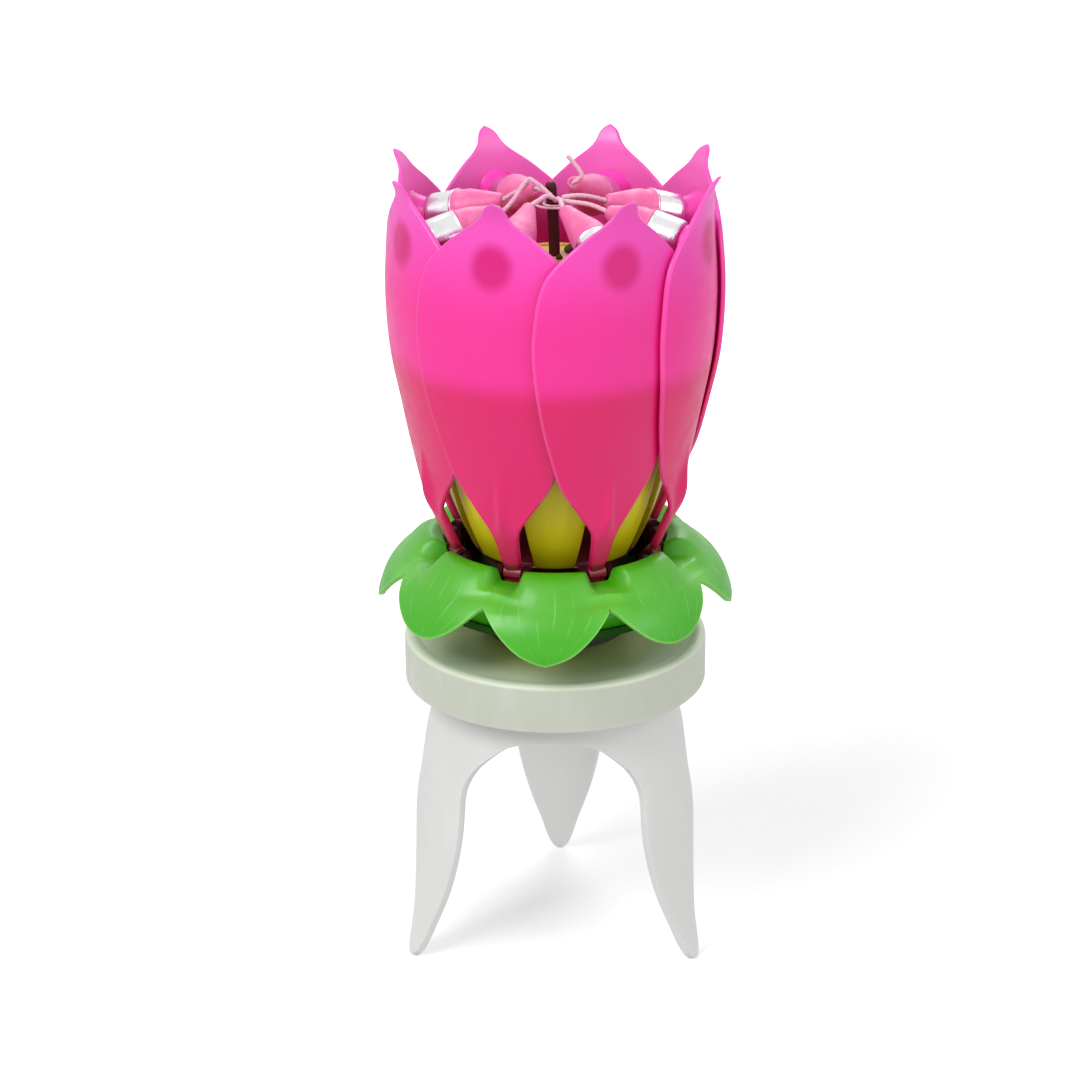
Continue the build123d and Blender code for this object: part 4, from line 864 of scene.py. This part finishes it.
FOOT_TOP, FOOT_CUT, FOOT_VALLEY = 70.6, 2.2, (2.2, 4.4)
FOOT_SECTION = [(19.2, 0), (19.2, 1), (20.0, 1), (20.0, 0), (19.9, -0.001), (19.3, -0.001)]


def foot_shape():
    """The round foot under the sepals, cut away where the valleys dip."""
    columns = 320
    rows = []
    for radius, share in FOOT_SECTION:
        ring = []
        for angle in (-180 + 360 * j / columns for j in range(columns)):
            beside = radius * math.sin(math.radians(off_petal(angle)))
            top = FOOT_TOP - FOOT_CUT * float(1 - smooth(*FOOT_VALLEY, beside))
            z = HUB_TOP + (top - HUB_TOP) * share
            ring.append((radius * math.cos(math.radians(angle)), radius * math.sin(math.radians(angle)), z))
        rows.append(ring)
    shape = Shape()
    shape.grid(rows, loop=True, ring=True, edge=PLAIN["edge"])
    return shape


foot_shape().build("calyx_foot", green_plastic, "head", (), "green_plastic")

# -------- inner crown
CROWN_BOTTOM, CROWN_TOP = 69.8, 103.0
CROWN_FOOT_RADIUS, CROWN_RIM_RADIUS, CROWN_BULGE = 13.2, 21.2, 1.5
CROWN_WALL, CROWN_ROUNDING = 0.8, 0.2
GAP_SHARES = [(0.66, 0.0), (0.62, 0.07), (0.58, 0.14), (0.5, 0.28), (0.44, 0.5), (0.42, 0.8), (0.5, 1.0)]
GAP_HALF_WIDTH = 3.3
GAP_FLOOR = CROWN_BOTTOM + 0.25
LOBE_SHOULDER_DROP, LOBE_SHOULDER_HEIGHT = 2.2, 14
LOBE_CROWNING, LOBE_FLUTE = 0.22, 0.12
crown_gap = by_height(scaled(GAP_SHARES, (0, GAP_HALF_WIDTH), (CROWN_BOTTOM, CROWN_TOP)))


def crown_radius(z):
    share = np.clip((z - CROWN_BOTTOM) / (CROWN_TOP - CROWN_BOTTOM), 0, 1)
    return CROWN_FOOT_RADIUS + (CROWN_RIM_RADIUS - CROWN_FOOT_RADIUS) * share \
        + CROWN_BULGE * np.sin(math.pi * share ** 0.75)


def crown_shape():
    """The outer skin of eight lobes, which stand between the petals and touch at the foot only."""
    shape = Shape()
    for petal_angle in PETAL_ANGLES:
        rows = []
        for z in np.concatenate([[CROWN_BOTTOM], np.linspace(GAP_FLOOR, CROWN_TOP, 60)]):
            gap = math.degrees(math.asin(crown_gap(z) / crown_radius(z))) if z > GAP_FLOOR - 1e-6 else 0
            shoulder = LOBE_SHOULDER_DROP * float(smooth(CROWN_TOP - LOBE_SHOULDER_HEIGHT, CROWN_TOP, z))
            crowning = LOBE_CROWNING * float(smooth(GAP_FLOOR, GAP_FLOOR + 8, z))
            flute = LOBE_FLUTE * float(smooth(GAP_FLOOR + 3, GAP_FLOOR + 12, z))
            row = []
            for s in np.linspace(-1, 1, 19):
                level = z - shoulder * abs(s) ** 3
                r = crown_radius(level) + (crowning - flute * math.cos(s * math.pi * 3)) * (1 - s * s)
                r = min(r, CROWN_RIM_RADIUS)
                a = math.radians(petal_angle + HALF_STEP + s * (HALF_STEP - gap))
                row.append((r * math.cos(a), r * math.sin(a), level))
            rows.append(row)
        shape.grid(rows)
    return shape


crown = crown_shape().build("crown_lobes", yellow_plastic, "head", ["stamen_crown"], "yellow_plastic",
                            weld=True)
thicken(crown, CROWN_WALL, CROWN_ROUNDING)
# The plate is in the lid's dark rose, painted shade under the lobes
PLATE_PROFILE = [(6.4, 69.8), (13.1, 69.8), (12.9, 70.6), (6.4, 70.6), (6.4, 69.8)]
plate = Shape()
plate.grid(lathe(rounded(PLATE_PROFILE, 0.1, 2), 96), loop=True)
plate.build("crown_plate", lid_plastic, "head", (), "yellow_plastic")

# -------- leg stand and base disc
BLADE_HEIGHT, BLADE_COUNT = 48.5, 3
BLADE_HALF_STEP = 180 / BLADE_COUNT
RING_RADIUS, BLADE_TIP_RADIUS = 19.5, 27.9
BLADE_TIP_HALF_WIDTH = 1.2
LEG_WALL, LEG_ROUNDING = 1.4, 0.35
ARCH_HEIGHT = 42.5
LEG_ANGLE = -31.5
TIP_LIFT = 0.48
TIP_ROUNDING_HEIGHT, TIP_ROUNDING = 1.3, 0.85
PLATE_UNDERSIDE = 52.9
BLADE_SHARES = [
    (1.0, 0.0), (0.74, 0.138), (0.607, 0.258), (0.525, 0.412), (0.45, 0.577), (0.37, 0.66), (0.215, 0.784),
    (0.05, 0.907), (0.0, 1.0),
]
ARCH_SHARES = [
    (1.0, 0.0), (0.936, 0.065), (0.864, 0.158), (0.775, 0.287), (0.713, 0.412), (0.669, 0.541),
    (0.649, 0.668), (0.636, 0.741), (0.599, 0.8), (0.531, 0.861), (0.442, 0.911), (0.34, 0.955),
    (0.178, 0.99), (0.0, 1.0),
]
ARCH_HALF_WIDTH = BLADE_TIP_RADIUS * math.sin(
    math.radians(BLADE_HALF_STEP) - math.asin(BLADE_TIP_HALF_WIDTH / BLADE_TIP_RADIUS))
blade_radius = by_height(scaled(BLADE_SHARES, (RING_RADIUS, BLADE_TIP_RADIUS), (0, BLADE_HEIGHT)))
arch_line = spline(scaled(ARCH_SHARES, (0, ARCH_HALF_WIDTH), (0, ARCH_HEIGHT)))


def stand_row(middle, half, z):
    """Points across one blade at a height, from half an angle before its middle to half an angle after."""
    r = float(blade_radius(min(z, BLADE_HEIGHT)))
    angles = [math.radians(middle + s * half) for s in np.linspace(-1, 1, 41)]
    return [(r * math.cos(a), r * math.sin(a), z) for a in angles]


def stand_shape():
    """The outer skin of the stand: three blades that run together into a ring under the disc."""
    shape = Shape()
    arch = arch_line(1 - (1 - np.linspace(0, 1, 110)) ** 1.25)
    for k in range(BLADE_COUNT):
        middle = LEG_ANGLE + 2 * BLADE_HALF_STEP * k
        rows = []
        for w, z in arch:
            # The wall is set on along the skin's slope, so its inner edge is what meets the table
            z = TIP_LIFT + z * (1 - TIP_LIFT / ARCH_HEIGHT)
            half = BLADE_HALF_STEP - math.degrees(math.asin(max(min(w / float(blade_radius(z)), 1), 0)))
            half *= math.sqrt(1 - TIP_ROUNDING * (1 - min((z - TIP_LIFT) / TIP_ROUNDING_HEIGHT, 1)) ** 2)
            rows.append(stand_row(middle, half, z))
        above = np.linspace(ARCH_HEIGHT, PLATE_UNDERSIDE, 14)[1:]
        shape.grid(rows + [stand_row(middle, BLADE_HALF_STEP, z) for z in above])
    return shape


stand = stand_shape().build("stand_blades", frosted_plastic, "stand", ["leg_stand"], "frosted_plastic",
                            weld=True)
thicken(stand, LEG_WALL, LEG_ROUNDING, 4)

# From the bore over the top to the rim, then back along the underside with its two rings
DISC_PROFILE = [
    (1.25, 54.3), (22.6, 54.3), (23.3, 54.5), (24.1, 54.5), (24.7, 54.2), (24.9, 53.6), (24.9, 46.5),
    (23.7, 46.5), (23.7, 52.9), (18.0, 52.9), (18.0, 49.9), (17.0, 49.9), (17.0, 52.9), (3.4, 52.9),
    (3.4, 48.9), (1.25, 48.9), (1.25, 54.3),
]
disc = Shape()
disc.grid(lathe(rounded(DISC_PROFILE, 0.25, 3), 160), loop=True)
disc.build("disc_cap", disc_plastic, "stand", ["base_disc"], "frosted_plastic")

# -------- fuse, pellets and thread
FUSE_POINTS = [(0, 0, 95.0), (0, 0, 117.6), (-0.02, 0, 119.2), (-0.56, 0, 129.4), (-0.6, 0, 129.9)]
FUSE_RADIUS, FUSE_TURN = 0.9, 0.9
fuse_path = spline(FUSE_POINTS)(np.linspace(0, 1, 110))
fuse = Shape()
fuse.grid(sweep(fuse_path, strands(FUSE_RADIUS, 30, 5, 0.07), FUSE_TURN, tapered(len(fuse_path), 0.92, 0.7)),
          loop=True, cap_start=True, cap_end=True)
fuse.build("fuse_cord", fuse_paper, "head", ["fuse"], "fuse_cord")

CAP_TOP = 118.5
PELLETS = {
    "cap_pellet_1": ((2.5, 0.6, CAP_TOP + 0.45), 1.05),
    "cap_pellet_2": ((0.8, -3.6, CAP_TOP + 0.3), 0.6),
}
PELLET_SIZE = np.array([1, 0.8, 0.7])


def pellet_shape(place, radius):
    """A small uneven lump that lies on the fountain's cap."""
    picker = np.random.default_rng(PELLET_SEED)
    phase = picker.uniform(0, 2 * math.pi, 3)
    a = circle(20)
    rows = []
    for tilt in np.linspace(0.02, math.pi - 0.02, 12):
        lump = 1 + 0.16 * np.sin(2 * a + phase[0] + tilt) + 0.1 * np.sin(3 * a + phase[1] - 2 * tilt)
        c, s = math.cos(tilt), math.sin(tilt)
        row = np.stack([np.cos(a) * s, np.sin(a) * s, np.full(len(a), c)], -1)
        rows.append(row * PELLET_SIZE * radius * lump[:, None] + np.array(place))
    shape = Shape()
    shape.grid(rows, loop=True, cap_start=True, cap_end=True)
    return shape


for name, (place, radius) in PELLETS.items():
    pellet_shape(place, radius).build(name, pellet, "head", (), "fuse_cord")

# The thread runs round the cap and round the fuse, with a short piece between
THREAD_RADIUS, THREAD_TURN = 0.2, 6.0
OUTER_LOOP, INNER_LOOP = 3.0, 1.66
thread_low, thread_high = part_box("tie_thread")
thread_level = (thread_low.z + thread_high.z) / 2 / MM
thread_outline = strands(THREAD_RADIUS, 10)
a = np.linspace(0, 2 * math.pi, 181)
thread = Shape()
for r in (OUTER_LOOP, INNER_LOOP):
    ring = np.stack([r * np.cos(a), r * np.sin(a), np.full(len(a), thread_level)], -1)
    thread.grid(sweep(ring, thread_outline, THREAD_TURN), loop=True)
out = -np.linspace(INNER_LOOP, OUTER_LOOP, 14)
bar = np.stack([np.zeros(len(out)), out, np.full(len(out), thread_level)], -1)
thread.grid(sweep(bar, thread_outline, THREAD_TURN), loop=True)
thread.build("thread_loops", wick_cotton, "head", ["tie_thread"], "thread")

# -------- floor, light and camera
FLOOR_HALF_WIDTH = 3
FLOOR_COLOUR = (0.8, 0.8, 0.8, 1)
GLOW_REACH, GLOW = (0.06, 0.3), (0.34, 1.0)
WORLD_LIGHT, WORLD_SEEN = 0.42, 1.0
LAMP_AIM = Vector((0, 0, 0.08))
LAMPS = {
    "key": ((-0.5, -0.5, 0.7), 0.45, 4.6),
    "fill": ((0.65, -0.45, 0.45), 0.6, 2.0),
    "back": ((0.1, 0.6, 0.6), 0.5, 2.0),
}


def floor_material():
    """Matt white. The camera sees it glow as well, less so near the object, where its shadow falls."""
    white = bpy.data.materials.new("plain_white")
    white.use_nodes = True
    tree = white.node_tree
    tree.nodes.clear()
    matte = new_node(tree, "ShaderNodeBsdfDiffuse", {"Color": FLOOR_COLOUR}).outputs[0]
    place = new_node(tree, "ShaderNodeTexCoord").outputs["Object"]
    away = new_node(tree, "ShaderNodeVectorMath", {0: place}, operation="LENGTH").outputs["Value"]
    strength = new_node(tree, "ShaderNodeMapRange", enumerate((away, *GLOW_REACH, *GLOW)),
                        interpolation_type="SMOOTHSTEP").outputs["Result"]
    glow = new_node(tree, "ShaderNodeEmission", {"Strength": strength}).outputs[0]
    both = new_node(tree, "ShaderNodeAddShader", {0: matte, 1: glow}).outputs[0]
    seen = new_node(tree, "ShaderNodeLightPath").outputs["Is Camera Ray"]
    choice = new_node(tree, "ShaderNodeMixShader", {0: seen, 1: matte, 2: both}).outputs[0]
    new_node(tree, "ShaderNodeOutputMaterial", {0: choice})
    return white


def studio_world():
    """White light, which the camera and shiny surfaces see brighter than it lights."""
    world = bpy.data.worlds.new("studio")
    world.use_nodes = True
    tree = world.node_tree
    tree.nodes.clear()
    dim, bright = (new_node(tree, "ShaderNodeBackground", {"Color": (1, 1, 1, 1), "Strength": s}).outputs[0]
                   for s in (WORLD_LIGHT, WORLD_SEEN))
    rays = new_node(tree, "ShaderNodeLightPath").outputs
    seen = new_node(tree, "ShaderNodeMath", {0: rays["Is Camera Ray"], 1: rays["Is Glossy Ray"]},
                    operation="MAXIMUM").outputs[0]
    mix = new_node(tree, "ShaderNodeMixShader", {0: seen, 1: dim, 2: bright}).outputs[0]
    new_node(tree, "ShaderNodeOutputWorld", {0: mix})
    return world


w = FLOOR_HALF_WIDTH
floor_mesh = bpy.data.meshes.new("floor")
floor_mesh.from_pydata([(-w, -w, 0), (w, -w, 0), (w, w, 0), (-w, w, 0)], [], [(0, 1, 2, 3)])
floor = bpy.data.objects.new("floor", floor_mesh)
floor.data.materials.append(floor_material())
bpy.context.scene.collection.objects.link(floor)

scene = bpy.context.scene
scene.view_settings.view_transform = "Standard"
scene.world = studio_world()

for name, (place, size, power) in LAMPS.items():
    data = bpy.data.lights.new(name, "AREA")
    data.size = size
    data.energy = power
    lamp = bpy.data.objects.new(name, data)
    lamp.location = place
    lamp.rotation_mode = "QUATERNION"
    lamp.rotation_quaternion = (LAMP_AIM - Vector(place)).to_track_quat("-Z", "Y")
    scene.collection.objects.link(lamp)

# The camera that was fitted to the photo
CAMERA_PLACE = (0.0014094, -0.4578644, 0.247931)
YAW, PITCH, ROLL = math.radians(-0.4853), math.radians(21.2561), math.radians(0.236)
FOCAL_PIXELS, PICTURE_PIXELS, SENSOR_MM = 2999.5891, 1080.0, 36.0
forward = Vector((math.sin(YAW) * math.cos(PITCH), math.cos(YAW) * math.cos(PITCH), -math.sin(PITCH)))
right = Vector((math.cos(YAW), -math.sin(YAW), 0))
up = right.cross(forward)
rolled_right = right * math.cos(ROLL) - up * math.sin(ROLL)
rolled_up = right * math.sin(ROLL) + up * math.cos(ROLL)
camera_data = bpy.data.cameras.new("camera")
camera_data.sensor_width = SENSOR_MM
camera_data.lens = SENSOR_MM * FOCAL_PIXELS / PICTURE_PIXELS
camera_data.clip_start = 0.01
camera = bpy.data.objects.new("camera", camera_data)
camera.matrix_world = Matrix((
    (rolled_right.x, rolled_up.x, -forward.x, CAMERA_PLACE[0]),
    (rolled_right.y, rolled_up.y, -forward.y, CAMERA_PLACE[1]),
    (rolled_right.z, rolled_up.z, -forward.z, CAMERA_PLACE[2]),
    (0, 0, 0, 1),
))
scene.collection.objects.link(camera)
scene.camera = camera
